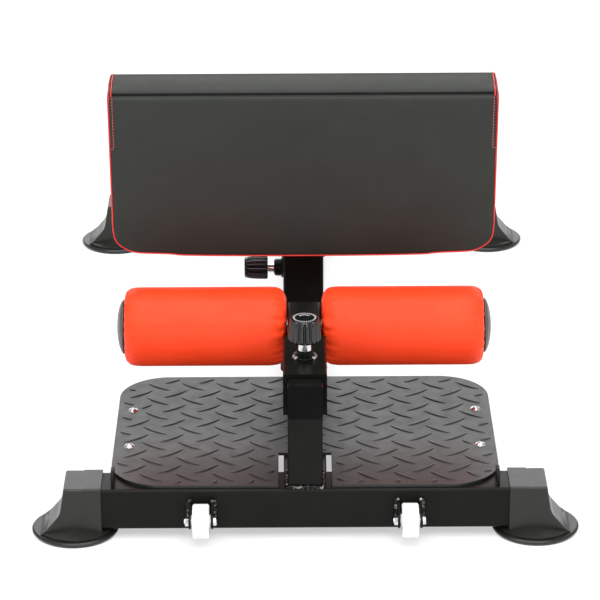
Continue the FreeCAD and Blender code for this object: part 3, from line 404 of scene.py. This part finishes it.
def pad_outline(inset, top_corner, steps=10):
    """Front outline from the top left corner down, round the foot and up to the top right."""
    half, low, high = PAD_WIDE / 2 - inset, inset, PAD_TALL - inset
    corner = PAD_CORNER - inset
    points = [(-half, high - top_corner), (-half, high * 0.7), (-half, high * 0.4)]
    for i in range(steps + 1):
        a = math.pi + (math.pi / 2) * i / steps
        points.append((-half + corner + corner * math.cos(a), low + corner + corner * math.sin(a)))
    for i in range(1, 24):
        points.append(((half - corner) * (i / 12.0 - 1.0), low))
    for i in range(steps + 1):
        a = 1.5 * math.pi + (math.pi / 2) * i / steps
        points.append((half - corner + corner * math.cos(a), low + corner + corner * math.sin(a)))
    points += [(half, high * 0.4), (half, high * 0.7), (half, high - top_corner)]
    if top_corner > 0.0:
        points += [(half - top_corner, high), (-half + top_corner, high)]
    return [(x, up - pad_foot_sag(x, up)) for x, up in points]


def edge_distance(x, up):
    """Distance inwards from the pad's front outline."""
    up = up + pad_foot_sag(x, up)
    side, low, high = PAD_WIDE / 2 - abs(x), up, PAD_TALL - up
    if side < PAD_CORNER and low < PAD_CORNER:
        return PAD_CORNER - math.hypot(PAD_CORNER - side, PAD_CORNER - low)
    return min(side, low, high)


def build_cushion():
    outline = pad_outline(0.0008, 0.0015)
    count = len(outline)
    verts = [pad_point(x, up, 0.0008) for x, up in outline]
    verts += [pad_point(x, up, PAD_COVER) for x, up in outline]
    faces = [tuple(range(count)), tuple(reversed(range(count, 2 * count)))]
    faces += [(i, i + count, (i + 1) % count + count, (i + 1) % count) for i in range(count)]
    cushion = new_object("calf_cushion", verts, faces)
    fix_normals(cushion)

    def pinned(point):
        x, up, back = pad_local(point)
        if back > PAD_DEEP - 0.002:
            return 1.0
        near = math.hypot(max(edge_distance(x, up), 0.0), back)
        return max(0.0, min(1.0, 1.6 - near / 0.006))

    inflate(cushion, 0.004, 4.0, 0.0050, pinned)
    groove_crease(cushion)
    finish_piece(cushion, "pad_carriage", PAD_VINYL, ("pad_cushion",))
    return cushion


def groove_crease(cushion):
    """Draw in the seam between face and top panel, and let its two ends stand out."""
    inwards = (PAD_BACK * 0.3 - PAD_UP).normalized()
    for v in cushion.data.vertices:
        x, up, back = pad_local(v.co)
        seam = math.hypot(PAD_TALL - 0.001 - up, back - CREASE_BACK)
        if seam < 0.014:
            v.co += inwards * (0.0034 * math.exp(-(seam / 0.0034) ** 2))
            end = max(0.0, 1.0 - (PAD_WIDE / 2 - abs(x)) / 0.010)
            v.co.x += math.copysign(0.0006 * end * math.exp(-(seam / 0.006) ** 2), x)


def surface_snapper(piece, lift):
    """Function that moves a point onto the piece's surface, a little proud of it."""
    mesh = piece.data
    tree = BVHTree.FromPolygons([v.co for v in mesh.vertices], [p.vertices for p in mesh.polygons])

    def snap(point):
        place, normal, _, _ = tree.find_nearest(point)
        return place + normal * lift
    return snap


def build_piping(cushion):
    """Red welt round the face's sides and foot, carried back over the top panel."""
    snap = surface_snapper(cushion, 0.0006)
    half = PAD_WIDE / 2
    front = [pad_point(x, up, 0.0) for x, up in pad_outline(0.0, 0.0, steps=16)]
    left = [pad_point(-half, PAD_TALL, back) for back in (PAD_COVER, PAD_COVER * 0.5, 0.0)]
    right = [pad_point(half, PAD_TALL, back) for back in (0.0, PAD_COVER * 0.5, PAD_COVER)]
    path = resample([*left, *front[1:-1], *right], 0.003)
    path = smoothed([snap(p) for p in path], 6)

    def thickness(i):
        if pad_local(path[i])[2] > 0.005:
            return TOP_WELT
        return FACE_WELT + 0.00005 * math.sin(i * 2.1)
    welt = swept_tube("pad_piping", path, thickness, sides=10)
    finish_piece(welt, "pad_carriage", PIPING_RED)
    lines = []
    inset = half - 0.0055
    for side in (-1, 1):
        run = [pad_point(side * inset, PAD_TALL, back) for back in (PAD_COVER - 0.001, 0.004)]
        run = [snap(p) for p in resample(run, 0.003)]
        lines.append(swept_tube("line", run, lambda i: 0.0007, sides=8))
    inner = join_pieces("pad_top_seams", lines)
    finish_piece(inner, "pad_carriage", PIPING_RED)


def stitch_run(snap, points, length=0.0026, gap=0.0014, radius=0.00045):
    """Row of thread stitches lying on the surface along a polyline."""
    path = resample(points, (length + gap) / 2)
    stitches = []
    for i in range(0, len(path) - 1, 2):
        a, b = snap(path[i]), snap(path[i + 1])
        stitches.append(swept_tube("stitch", [a, (a + b) / 2, b], lambda k: radius, sides=6))
    return stitches


def build_stitching(cushion):
    """Red top stitch beside the piping, closed by a short bar tack."""
    snap = surface_snapper(cushion, 0.0004)
    inset = PAD_WIDE / 2 - 0.0070
    foot = PAD_TALL - 0.072
    stitches = []
    for side in (-1, 1):
        down = [pad_point(side * inset, PAD_TALL - 0.004, 0.0), pad_point(side * inset, foot, 0.0)]
        stitches += stitch_run(snap, down)
        tack = [pad_point(side * inset, foot, 0.0), pad_point(side * (PAD_WIDE / 2 - 0.0012), foot, 0.0)]
        stitches += stitch_run(snap, tack, length=0.0016, gap=0.0004)
    piece = join_pieces("pad_top_stitch", stitches)
    finish_piece(piece, "pad_carriage", THREAD_RED)


def build_crease_shade_strip(cushion):
    """Near-black strip sunk into the seam groove on the top panel: painted shade for the groove's dark
    valley.
    """
    snap = surface_snapper(cushion, -0.0008)
    half = PAD_WIDE / 2 - 0.006
    run = [pad_point(-half, PAD_TALL, CREASE_BACK), pad_point(half, PAD_TALL, CREASE_BACK)]
    path = [snap(p) for p in resample(run, 0.004)]
    seam = swept_tube("pad_crease_painted_shade", path, lambda i: 0.0020, sides=10)
    finish_piece(seam, "pad_carriage", CREASE_PAINTED_SHADE)


# ------------------------------------------------------------------ rollers
ROLLER_BORE = 0.0146
# Outline in from each end: radius, and distance past that end
INNER_END = [(ROLLER_BORE, 0.0004), (0.026, 0.0002), (0.034, -0.0003), (0.039, 0.0008),
             (0.0432, 0.0048), (0.0456, 0.0110), (0.0464, 0.019)]
OUTER_END = [(0.0464, -0.018), (0.0460, -0.011), (0.0442, -0.0050), (0.0405, -0.0014),
             (0.0360, 0.0006), (0.0335, 0.0004), (0.0320, -0.0004), (ROLLER_BORE, -0.0004)]


def build_roller(name, side):
    """Foam roller's vinyl cover, blown up as cloth and gathered at both ends."""
    low, high = node_box(f"roller_foam_{name}")
    centre = (low + high) / 2
    radius = (high.z - low.z) / 2
    inner, outer = (high.x, low.x) if side < 0 else (low.x, high.x)
    length = abs(outer - inner)
    profile = INNER_END + [(r, length + t) for r, t in OUTER_END]
    segments = 72
    verts, faces = [], []
    for k in range(segments):
        a = 2 * math.pi * k / segments
        for r, t in profile:
            verts.append(Vector((inner + side * t, centre.y + r * math.cos(a),
                                 centre.z + r * math.sin(a))))
    rows = len(profile)
    for k in range(segments):
        n = (k + 1) % segments
        for j in range(rows):
            m = (j + 1) % rows
            faces.append((k * rows + j, k * rows + m, n * rows + m, n * rows + j))
    roller = new_object(f"roller_cover_{name}", verts, faces)
    fix_normals(roller)

    def pinned(point):
        away = math.hypot(point.y - centre.y, point.z - centre.z)
        return 1.0 if away < ROLLER_BORE + 0.006 else 0.0

    inflate(roller, 0.004, 4.0, 0.0018, pinned)
    swell_to(roller, centre, ROLLER_BORE + 0.008, radius - 0.0002)
    gather_ends(roller, centre, inner, side, length, seed=3.0 + side)
    finish_piece(roller, f"{name}_roller", ROLLER_VINYL, (f"roller_foam_{name}",))


def swell_to(roller, centre, root, radius):
    """Stretch the cover outwards until its fullest part has the roller's radius."""
    reach = max(math.hypot(v.co.y - centre.y, v.co.z - centre.z) for v in roller.data.vertices)
    for v in roller.data.vertices:
        away = Vector((0.0, v.co.y - centre.y, v.co.z - centre.z))
        if away.length > root:
            grown = root + (away.length - root) * (radius - root) / (reach - root)
            v.co += away.normalized() * (grown - away.length)


GATHER_REACH = 0.021            # how far the puckers run in from a roller's end
GATHER_ROOT = 0.017             # nearer the axle than this the cover stays flat
INNER_FOLD, OUTER_FOLD = 0.0036, 0.0017
INNER_DRAW, OUTER_DRAW = 0.0022, 0.0006


def gather_ends(roller, centre, inner, side, length, seed):
    """Fine radial puckers where the cover is drawn in over both ends."""
    for v in roller.data.vertices:
        t = (v.co.x - inner) * side
        end = min(t, length - t)
        if end > GATHER_REACH:
            continue
        away = Vector((0.0, v.co.y - centre.y, v.co.z - centre.z))
        r = away.length
        if r < GATHER_ROOT:
            continue
        angle = math.atan2(away.z, away.y)
        at_arm = t < length / 2
        shift = 0.0 if at_arm else 7.0
        wobble = noise.noise(Vector((math.cos(angle) * 2.0, math.sin(angle) * 2.0, seed + shift)))
        folds = math.sin(19 * angle + 5.0 * wobble) + 0.5 * math.sin(33 * angle + 7.0 * wobble + seed)
        spot = Vector((math.cos(angle) * 1.3, math.sin(angle) * 1.3, shift - seed))
        patch = 0.55 + 0.45 * noise.noise(spot)
        reach = 1.0 - end / GATHER_REACH
        depth = (INNER_FOLD if at_arm else OUTER_FOLD) * reach ** 1.5 * patch
        v.co += away.normalized() * (folds * depth - depth * 0.6)
        if at_arm and r > 0.026:
            v.co.x += side * INNER_DRAW * reach * max(0.0, folds + 0.3) * patch
        if t > length / 2 and r > 0.030:
            v.co.x += side * OUTER_DRAW * reach * (folds - 0.8) * patch


# ------------------------------------------------------------------ footplate tread
TREAD_PITCH_X, TREAD_PITCH_Y = 0.0423, 0.0428
TREAD_ANGLES = (-39.0, 39.0)
LUG_LONG, LUG_WIDE, LUG_TALL, LUG_BOW = 0.038, 0.0048, 0.0013, 0.0022
PLATE_CORNER, PLATE_MARGIN = 0.060, 0.004
NOTCH_HALF, NOTCH_DEEP = 0.034, 0.090
PLATE_BOLT_X, BOLT_CLEAR = 0.208, 0.0095


def build_tread():
    """Raised lugs of the diamond plate, in two crossed families."""
    low, high = node_box("footplate")
    first = Vector((-0.010, low.y + 0.280, 0.0))
    half = (high.x - low.x) / 2

    def on_plate(x, y):
        if abs(x) > half - PLATE_MARGIN or y < low.y + PLATE_MARGIN or y > high.y - PLATE_MARGIN:
            return False
        if abs(x) < NOTCH_HALF and y < low.y + NOTCH_DEEP:
            return False
        corner_y = None
        if y < low.y + PLATE_CORNER:
            corner_y = low.y + PLATE_CORNER
        elif y > high.y - PLATE_CORNER:
            corner_y = high.y - PLATE_CORNER
        if corner_y is not None and abs(x) > half - PLATE_CORNER:
            away = math.hypot(abs(x) - (half - PLATE_CORNER), y - corner_y)
            return away < PLATE_CORNER - PLATE_MARGIN
        return True

    bolts = [(sx * PLATE_BOLT_X, y) for sx in (-1, 1) for y in bolt_rows()]
    lugs = []
    columns = int(half / TREAD_PITCH_X) + 2
    rows = int((high.y - low.y) / TREAD_PITCH_Y) + 3
    for family, degrees in enumerate(TREAD_ANGLES):
        for i in range(-columns, columns + 1):
            for j in range(-1, rows):
                x = first.x + (i + 0.5 * family) * TREAD_PITCH_X
                y = first.y - (j - 1.0 + 0.5 * family) * TREAD_PITCH_Y
                lug = lug_mesh(Vector((x, y, high.z)), math.radians(degrees), on_plate, bolts)
                if lug is not None:
                    lugs.append(lug)
    tread = join_pieces("plate_tread", lugs)
    finish_piece(tread, "frame", PLATE_BLACK)


def bolt_rows():
    """Y of the plate's two rows of bolts, from the outer edges of their heads."""
    low, high = node_box("plate_bolts")
    return (low.y + 0.0065, high.y - 0.0065)


def lug_mesh(place, angle, on_plate, bolts):
    """One lens-shaped lug, bowed along its length and trimmed at the plate's edge."""
    steps, across = 14, 6
    along = Vector((math.cos(angle), math.sin(angle), 0.0))
    side = Vector((-along.y, along.x, 0.0))
    stations = []
    for i in range(steps + 1):
        t = -1.0 + 2.0 * i / steps
        centre = place + along * (t * LUG_LONG / 2) - side * (LUG_BOW * (1 - t * t))
        clear = all(math.hypot(centre.x - bx, centre.y - by) > BOLT_CLEAR for bx, by in bolts)
        if on_plate(centre.x, centre.y) and clear:
            stations.append((t, centre))
        elif stations:
            break
    if len(stations) < 5:
        return None
    first, last = stations[0][0], stations[-1][0]
    verts, faces = [], []
    for t, centre in stations:
        s = (2 * t - first - last) / (last - first)
        taper = math.sqrt(max(0.0, 1.0 - s * s)) ** 0.8
        breadth = max(0.0004, LUG_WIDE / 2 * taper)
        for k in range(across + 1):
            a = math.pi * k / across
            verts.append(centre + side * (breadth * math.cos(a))
                         + Vector((0.0, 0.0, LUG_TALL * math.sin(a) * max(0.08, taper) - 0.0002)))
    row = across + 1
    for i in range(len(stations) - 1):
        for k in range(across):
            faces.append((i * row + k, i * row + k + 1, (i + 1) * row + k + 1, (i + 1) * row + k))
        faces.append((i * row + across, i * row, (i + 1) * row, (i + 1) * row + across))
    faces.append(tuple(range(row)))
    end = (len(stations) - 1) * row
    faces.append(tuple(reversed(range(end, end + row))))
    lug = new_object("lug", verts, faces)
    fix_normals(lug)
    return lug


# ------------------------------------------------------------------ welds
WELD_STEP, WELD_RIPPLE = 0.0009, 0.0042
TOE = 0.0006                    # how far a bead's middle stands off the corner it fills


def weld(name, path, size, closed=True, seed=1, lumps=0.16):
    """Bead with the overlapping ripples of a hand-run weld."""
    dice = random.Random(seed)
    path = resample(path + ([path[0]] if closed else []), WELD_STEP)
    if closed:
        path = path[:-1]
    phase = dice.random() * 6.0
    radii, points = [], []
    for i, p in enumerate(path):
        ripple = abs(math.sin(math.pi * (i * WELD_STEP) / WELD_RIPPLE + phase))
        lump = 1.0 + lumps * noise.noise(p * 210.0 + Vector((seed, 0.0, 0.0)))
        radii.append(size * (0.72 + 0.3 * ripple) * lump)
        drift = Vector((noise.noise(p * 150.0), noise.noise(p * 150.0 + Vector((9, 0, 0))), 0.0))
        points.append(p + drift * size * 0.12)
    return swept_tube(name, points, lambda i: radii[i], sides=12, closed=closed)


def square_path(centre, half):
    corners = [(-1, -1), (1, -1), (1, 1), (-1, 1)]
    return [centre + Vector((a * half, b * half, 0.0)) for a, b in corners]


def circle_path(centre, radius, normal, count=40):
    turn = normal.to_track_quat("Z", "Y")
    return [centre + turn @ Vector((radius * math.cos(2 * math.pi * i / count),
                                    radius * math.sin(2 * math.pi * i / count), 0.0))
            for i in range(count)]


def straight_bead(start, stop, size, seed):
    return weld("bead", [Vector(start), Vector(stop)], size, False, seed)


def build_post_welds():
    """Beads round the feet of the front post and of the mast, which replace their CAD solids."""
    top = node_box("front_stabiliser")[1].z
    low, high = node_box("front_post")
    path = square_path(Vector((0, (low.y + high.y) / 2, top + 0.0008)), 0.0208)
    foot = weld("post_weld_bead", path, 0.0031, seed=2, lumps=0.34)
    finish_piece(foot, "frame", PAINTED_WELD, ("post_weld",))
    low, high = node_box("mast")
    path = square_path(Vector((0, (low.y + high.y) / 2, low.z + 0.0008)), 0.0258)
    bead = weld("mast_weld_bead", path, 0.0034, seed=3)
    finish_piece(bead, "frame", FRAME_BLACK, ("mast_weld",))


def sleeve_beads():
    """Under the arm's sleeve, along the post's sides and behind it."""
    low, high = node_box("front_post")
    z = node_box("arm_sleeve")[0].z - TOE
    beads = [straight_bead((side * 0.0206, low.y + 0.002, z), (side * 0.0206, high.y - 0.002, z),
                           0.0026, 5 + side)
             for side in (-1, 1)]
    beads.append(straight_bead((-0.019, high.y + TOE, z), (0.019, high.y + TOE, z), 0.0026, 8))
    return beads


def rail_beads():
    """Upright beads where the base rail meets both cross tubes."""
    low, high = node_box("base_rail")
    return [straight_bead((side * 0.0254, y + out * TOE, low.z + 0.004),
                          (side * 0.0254, y + out * TOE, high.z - 0.004), 0.003, 11 + side + out)
            for y, out in ((low.y, 1), (high.y, -1)) for side in (-1, 1)]


def bearer_beads(name):
    """Upright beads where a footplate bearer meets the base rail."""
    low, high = node_box(f"plate_bearer_{name}")
    x = high.x if name == "left" else low.x
    return [straight_bead((x, y, low.z + 0.002), (x, y, high.z - 0.002), 0.0024, 31)
            for y in (low.y, high.y)]


def lug_beads(name):
    """Lumpy bead up and over each lug of a transport wheel."""
    wheel_low, wheel_high = node_box(f"wheel_{name}")
    y = node_box("front_stabiliser")[0].y - TOE
    beads = []
    for edge in ("inner", "outer"):
        low, high = node_box(f"wheel_lug_{name}_{edge}")
        middle = (low.x + high.x) / 2
        outside = 1 if middle > (wheel_low.x + wheel_high.x) / 2 else -1
        x = middle + outside * 0.0022
        path = [Vector((x, y, low.z + 0.008)), Vector((x, y, high.z)),
                Vector((x - outside * 0.0040, y, high.z + 0.0012))]
        beads.append(weld("bead", path, 0.0034, False, 20 + int(abs(x) * 1000), lumps=0.4))
    return beads


def boss_lobes(centre, z):
    """Two bare, bright lobes at opposite sides of the arm pin's boss."""
    lobes = []
    for start in (-40, 140):
        angles = [math.radians(start + 8 * i) for i in range(11)]
        arc = [Vector((centre.x + 0.0115 * math.cos(a), centre.y + 0.0115 * math.sin(a), z))
               for a in angles]
        lobes.append(weld("bead", arc, 0.0033, False, 61 + start))
    return lobes


def build_welds():
    build_post_welds()
    beads = sleeve_beads() + rail_beads() + bearer_beads("left") + bearer_beads("right")
    lugs = lug_beads("left") + lug_beads("right")
    finish_piece(join_pieces("wheel_lug_welds", lugs), "frame", PAINTED_WELD)
    low, high = node_box("arm_pin_boss")
    centre = (low + high) / 2
    ring = circle_path(Vector((centre.x, centre.y, low.z + TOE)), 0.0098, Vector((0, 0, 1)))
    beads.append(weld("bead", ring, 0.0022, True, 41))
    lobes = join_pieces("arm_boss_weld", boss_lobes(centre, low.z + 0.0012))
    finish_piece(lobes, "frame", BARE_WELD)
    low, high = node_box("pad_pin_boss")
    centre = (low + high) / 2
    ring = circle_path(Vector((high.x - TOE, centre.y, centre.z)), 0.0110, Vector((1, 0, 0)))
    beads.append(weld("bead", ring, 0.0020, True, 43))
    finish_piece(join_pieces("frame_weld_beads", beads), "frame", FRAME_BLACK)
    build_carriage_welds()


def build_carriage_welds():
    """Beads along the gussets between the pad's post and its bracket plate."""
    beads = []
    for name in ("left", "right"):
        low, high = node_box(f"pad_gusset_{name}")
        outside = 1 if name == "right" else -1
        x = (high.x if outside > 0 else low.x) + outside * 0.0004
        back = high.y
        beads.append(straight_bead((outside * 0.0203, back, low.z + 0.027),
                                   (outside * 0.0203, back, high.z - 0.006), 0.002, 51))
        slope = math.tan(PAD_TILT)
        front_low = Vector((x, low.y + (high.z - low.z) * slope, low.z))
        front_high = Vector((x, low.y, high.z))
        beads.append(straight_bead(front_low, front_high, 0.0022, 53))
    piece = join_pieces("carriage_weld_beads", beads)
    finish_piece(piece, "pad_carriage", FRAME_BLACK)


# ------------------------------------------------------------------ knobs
FLUTES, FLUTE_DEPTH = 16, 0.15
KNOB_BORE, KNOB_BORE_DEPTH = 0.0054, 0.72
# Outline from the bore's rim to the crown: radius and height as shares, and how deep the flutes cut
KNOB_OUTLINE = [(0.88, 0.0, 0.0), (0.97, 0.03, 0.7), (1.0, 0.09, 1.0), (1.0, 0.25, 1.0),
                (0.985, 0.45, 1.0), (0.96, 0.65, 1.0), (0.925, 0.80, 1.0), (0.895, 0.87, 0.6),
                (0.875, 0.90, 0.0), (0.86, 0.95, 0.0), (0.83, 0.985, 0.0), (0.78, 1.0, 0.0)]


def build_knob(prefix, axis):
    """Fluted knob with deep rounded grooves, open below for its rod."""
    low, high = node_box(f"{prefix}_pin_knob")
    centre = (low + high) / 2
    size = high - low
    height = abs(size.dot(axis))
    radius = max(size) / 2 if height < max(size) else min(size) / 2
    base = centre - axis * (height / 2)
    turn = axis.to_track_quat("Z", "Y")
    steps = FLUTES * 12
    rings = [(KNOB_BORE, 0.0, 0.0)]
    rings += [(share * radius, z * height, cut) for share, z, cut in KNOB_OUTLINE]
    verts, faces = [], []
    for r, z, cut in rings:
        for k in range(steps):
            angle = 2 * math.pi * k / steps
            groove = (0.5 + 0.5 * math.cos(FLUTES * angle)) ** 1.6
            reach = r * (1.0 - FLUTE_DEPTH * cut * groove)
            verts.append(base + turn @ Vector((reach * math.cos(angle), reach * math.sin(angle), z)))
    for k in range(steps):
        angle = 2 * math.pi * k / steps
        verts.append(base + turn @ Vector((KNOB_BORE * math.cos(angle), KNOB_BORE * math.sin(angle),
                                           KNOB_BORE_DEPTH * height)))
    for row in range(len(rings) - 1):
        for k in range(steps):
            n = (k + 1) % steps
            a, b = row * steps, (row + 1) * steps
            faces.append((a + k, a + n, b + n, b + k))
    crown = (len(rings) - 1) * steps
    roof = len(rings) * steps
    faces.append(tuple(crown + k for k in range(steps)))
    faces += [(k, roof + k, roof + (k + 1) % steps, (k + 1) % steps) for k in range(steps)]
    faces.append(tuple(roof + k for k in range(steps)))
    knob = new_object(f"{prefix}_knob_grip", verts, faces)
    fix_normals(knob)
    finish_piece(knob, f"{prefix}_knob", KNOB_BLACK, (f"{prefix}_pin_knob",))


def build_knob_ring():
    """Plain printed ring of index ticks on top of the arm's knob."""
    low, high = node_box("arm_pin_knob")
    centre = Vector(((low.x + high.x) / 2, (low.y + high.y) / 2, high.z + 0.00012))
    ticks = 30
    rings = []
    for i in range(ticks):
        a = 2 * math.pi * i / ticks
        rings.append(flat_ring(centre, 0.0114, 0.0136, a, a + 0.09, 4))
    for i in range(4, 12):
        a = 2 * math.pi * i / ticks
        rings.append(flat_ring(centre, 0.0068, 0.0086, a, a + 0.13, 4))
    ring = join_pieces("arm_knob_ring", rings)
    finish_piece(ring, "arm_knob", PRINT_GREY)


def flat_ring(centre, inner, outer, start, stop, steps):
    """Thin raised sector, closed all round."""
    thick = 0.00015
    verts, faces = [], []
    for i in range(steps + 1):
        a = start + (stop - start) * i / steps
        d = Vector((math.cos(a), math.sin(a), 0.0))
        for r in (inner, outer):
            verts += [centre + d * r - Vector((0, 0, thick)), centre + d * r + Vector((0, 0, thick))]
    for i in range(steps):
        a, b = 4 * i, 4 * (i + 1)
        faces += [(a + 1, a + 3, b + 3, b + 1), (a, b, b + 2, a + 2), (a, a + 1, b + 1, b),
                  (a + 3, a + 2, b + 2, b + 3)]
    faces += [(0, 2, 3, 1), (4 * steps, 4 * steps + 1, 4 * steps + 3, 4 * steps + 2)]
    piece = new_object("ring", verts, faces, smooth=False)
    fix_normals(piece)
    return piece


# ------------------------------------------------------------------ camera, floor, light
CAMERA_AWAY, CAMERA_ASIDE, CAMERA_UP = 3.075, -0.014, 1.562
CAMERA_TILT, CAMERA_PAN, CAMERA_ROLL = math.radians(67.65), -0.00283, -0.0042


def build_camera():
    """Long lens in front of the bench, looking down at it."""
    front = node_box("front_stabiliser")[0].y
    data = bpy.data.cameras.new("camera")
    data.sensor_width = 36.0
    data.lens = 178.2
    data.clip_end = 50.0
    camera = bpy.data.objects.new("camera", data)
    turn = Euler((CAMERA_TILT, 0.0, CAMERA_PAN)).to_matrix().to_4x4()
    roll = Matrix.Rotation(CAMERA_ROLL, 4, "Z")
    place = Matrix.Translation((CAMERA_ASIDE, front - CAMERA_AWAY, CAMERA_UP))
    camera.matrix_world = place @ turn @ roll
    scene.collection.objects.link(camera)
    scene.camera = camera


def build_floor():
    size = 12.0
    corners = [(-size, -size, 0.0), (size, -size, 0.0), (size, size, 0.0), (-size, size, 0.0)]
    floor = new_object("studio_floor", corners, [(0, 1, 2, 3)], smooth=False)
    shader = Shader("floor_paper", Roughness=0.9, Specular_IOR_Level=0.0,
                    Emission_Color=(1.0, 1.0, 1.0, 1.0), Emission_Strength=0.5)
    shader.mottle(shader.noise(3.0), (0.5, 0.5, 0.5), (0.53, 0.53, 0.53))
    floor.data.materials.append(shader.material)


def soft_box(name, place, aim, size, power):
    data = bpy.data.lights.new(name, "AREA")
    data.shape = "RECTANGLE"
    data.size, data.size_y = size
    data.energy = power
    light = bpy.data.objects.new(name, data)
    direction = Vector(aim) - Vector(place)
    light.matrix_world = (Matrix.Translation(place)
                          @ direction.to_track_quat("-Z", "Y").to_matrix().to_4x4())
    scene.collection.objects.link(light)


def build_lights():
    world = bpy.data.worlds.new("studio")
    world.use_nodes = True
    background = world.node_tree.nodes["Background"]
    background.inputs["Color"].default_value = (1.0, 1.0, 1.0, 1.0)
    background.inputs["Strength"].default_value = 0.45
    scene.world = world
    soft_box("backdrop", (0.0, 3.4, 1.7), (0.0, 0.0, 0.2), (5.0, 2.6), 72.0)
    soft_box("top", (0.0, -0.3, 3.0), (0.0, 0.0, 0.0), (2.6, 2.2), 60.0)
    soft_box("front", (0.0, -3.2, 3.4), (0.0, 0.0, 0.2), (2.8, 1.6), 75.0)
    soft_box("low", (0.0, -3.2, 0.7), (0.0, 0.0, 0.2), (2.4, 0.8), 18.0)
    soft_box("left", (-2.6, -1.2, 1.5), (0.0, 0.0, 0.2), (1.4, 1.8), 24.0)
    soft_box("right", (2.6, -1.2, 1.5), (0.0, 0.0, 0.2), (1.4, 1.8), 24.0)


dress_cad_nodes()
build_camera()
build_floor()
build_lights()
pad = build_cushion()
build_piping(pad)
build_stitching(pad)
build_crease_shade_strip(pad)
build_roller("left", -1)
build_roller("right", 1)
build_tread()
build_welds()
build_knob("arm", Vector((0.0, 0.0, 1.0)))
build_knob("pad", Vector((-1.0, 0.0, 0.0)))
build_knob_ring()
scene.view_settings.view_transform = "Standard"
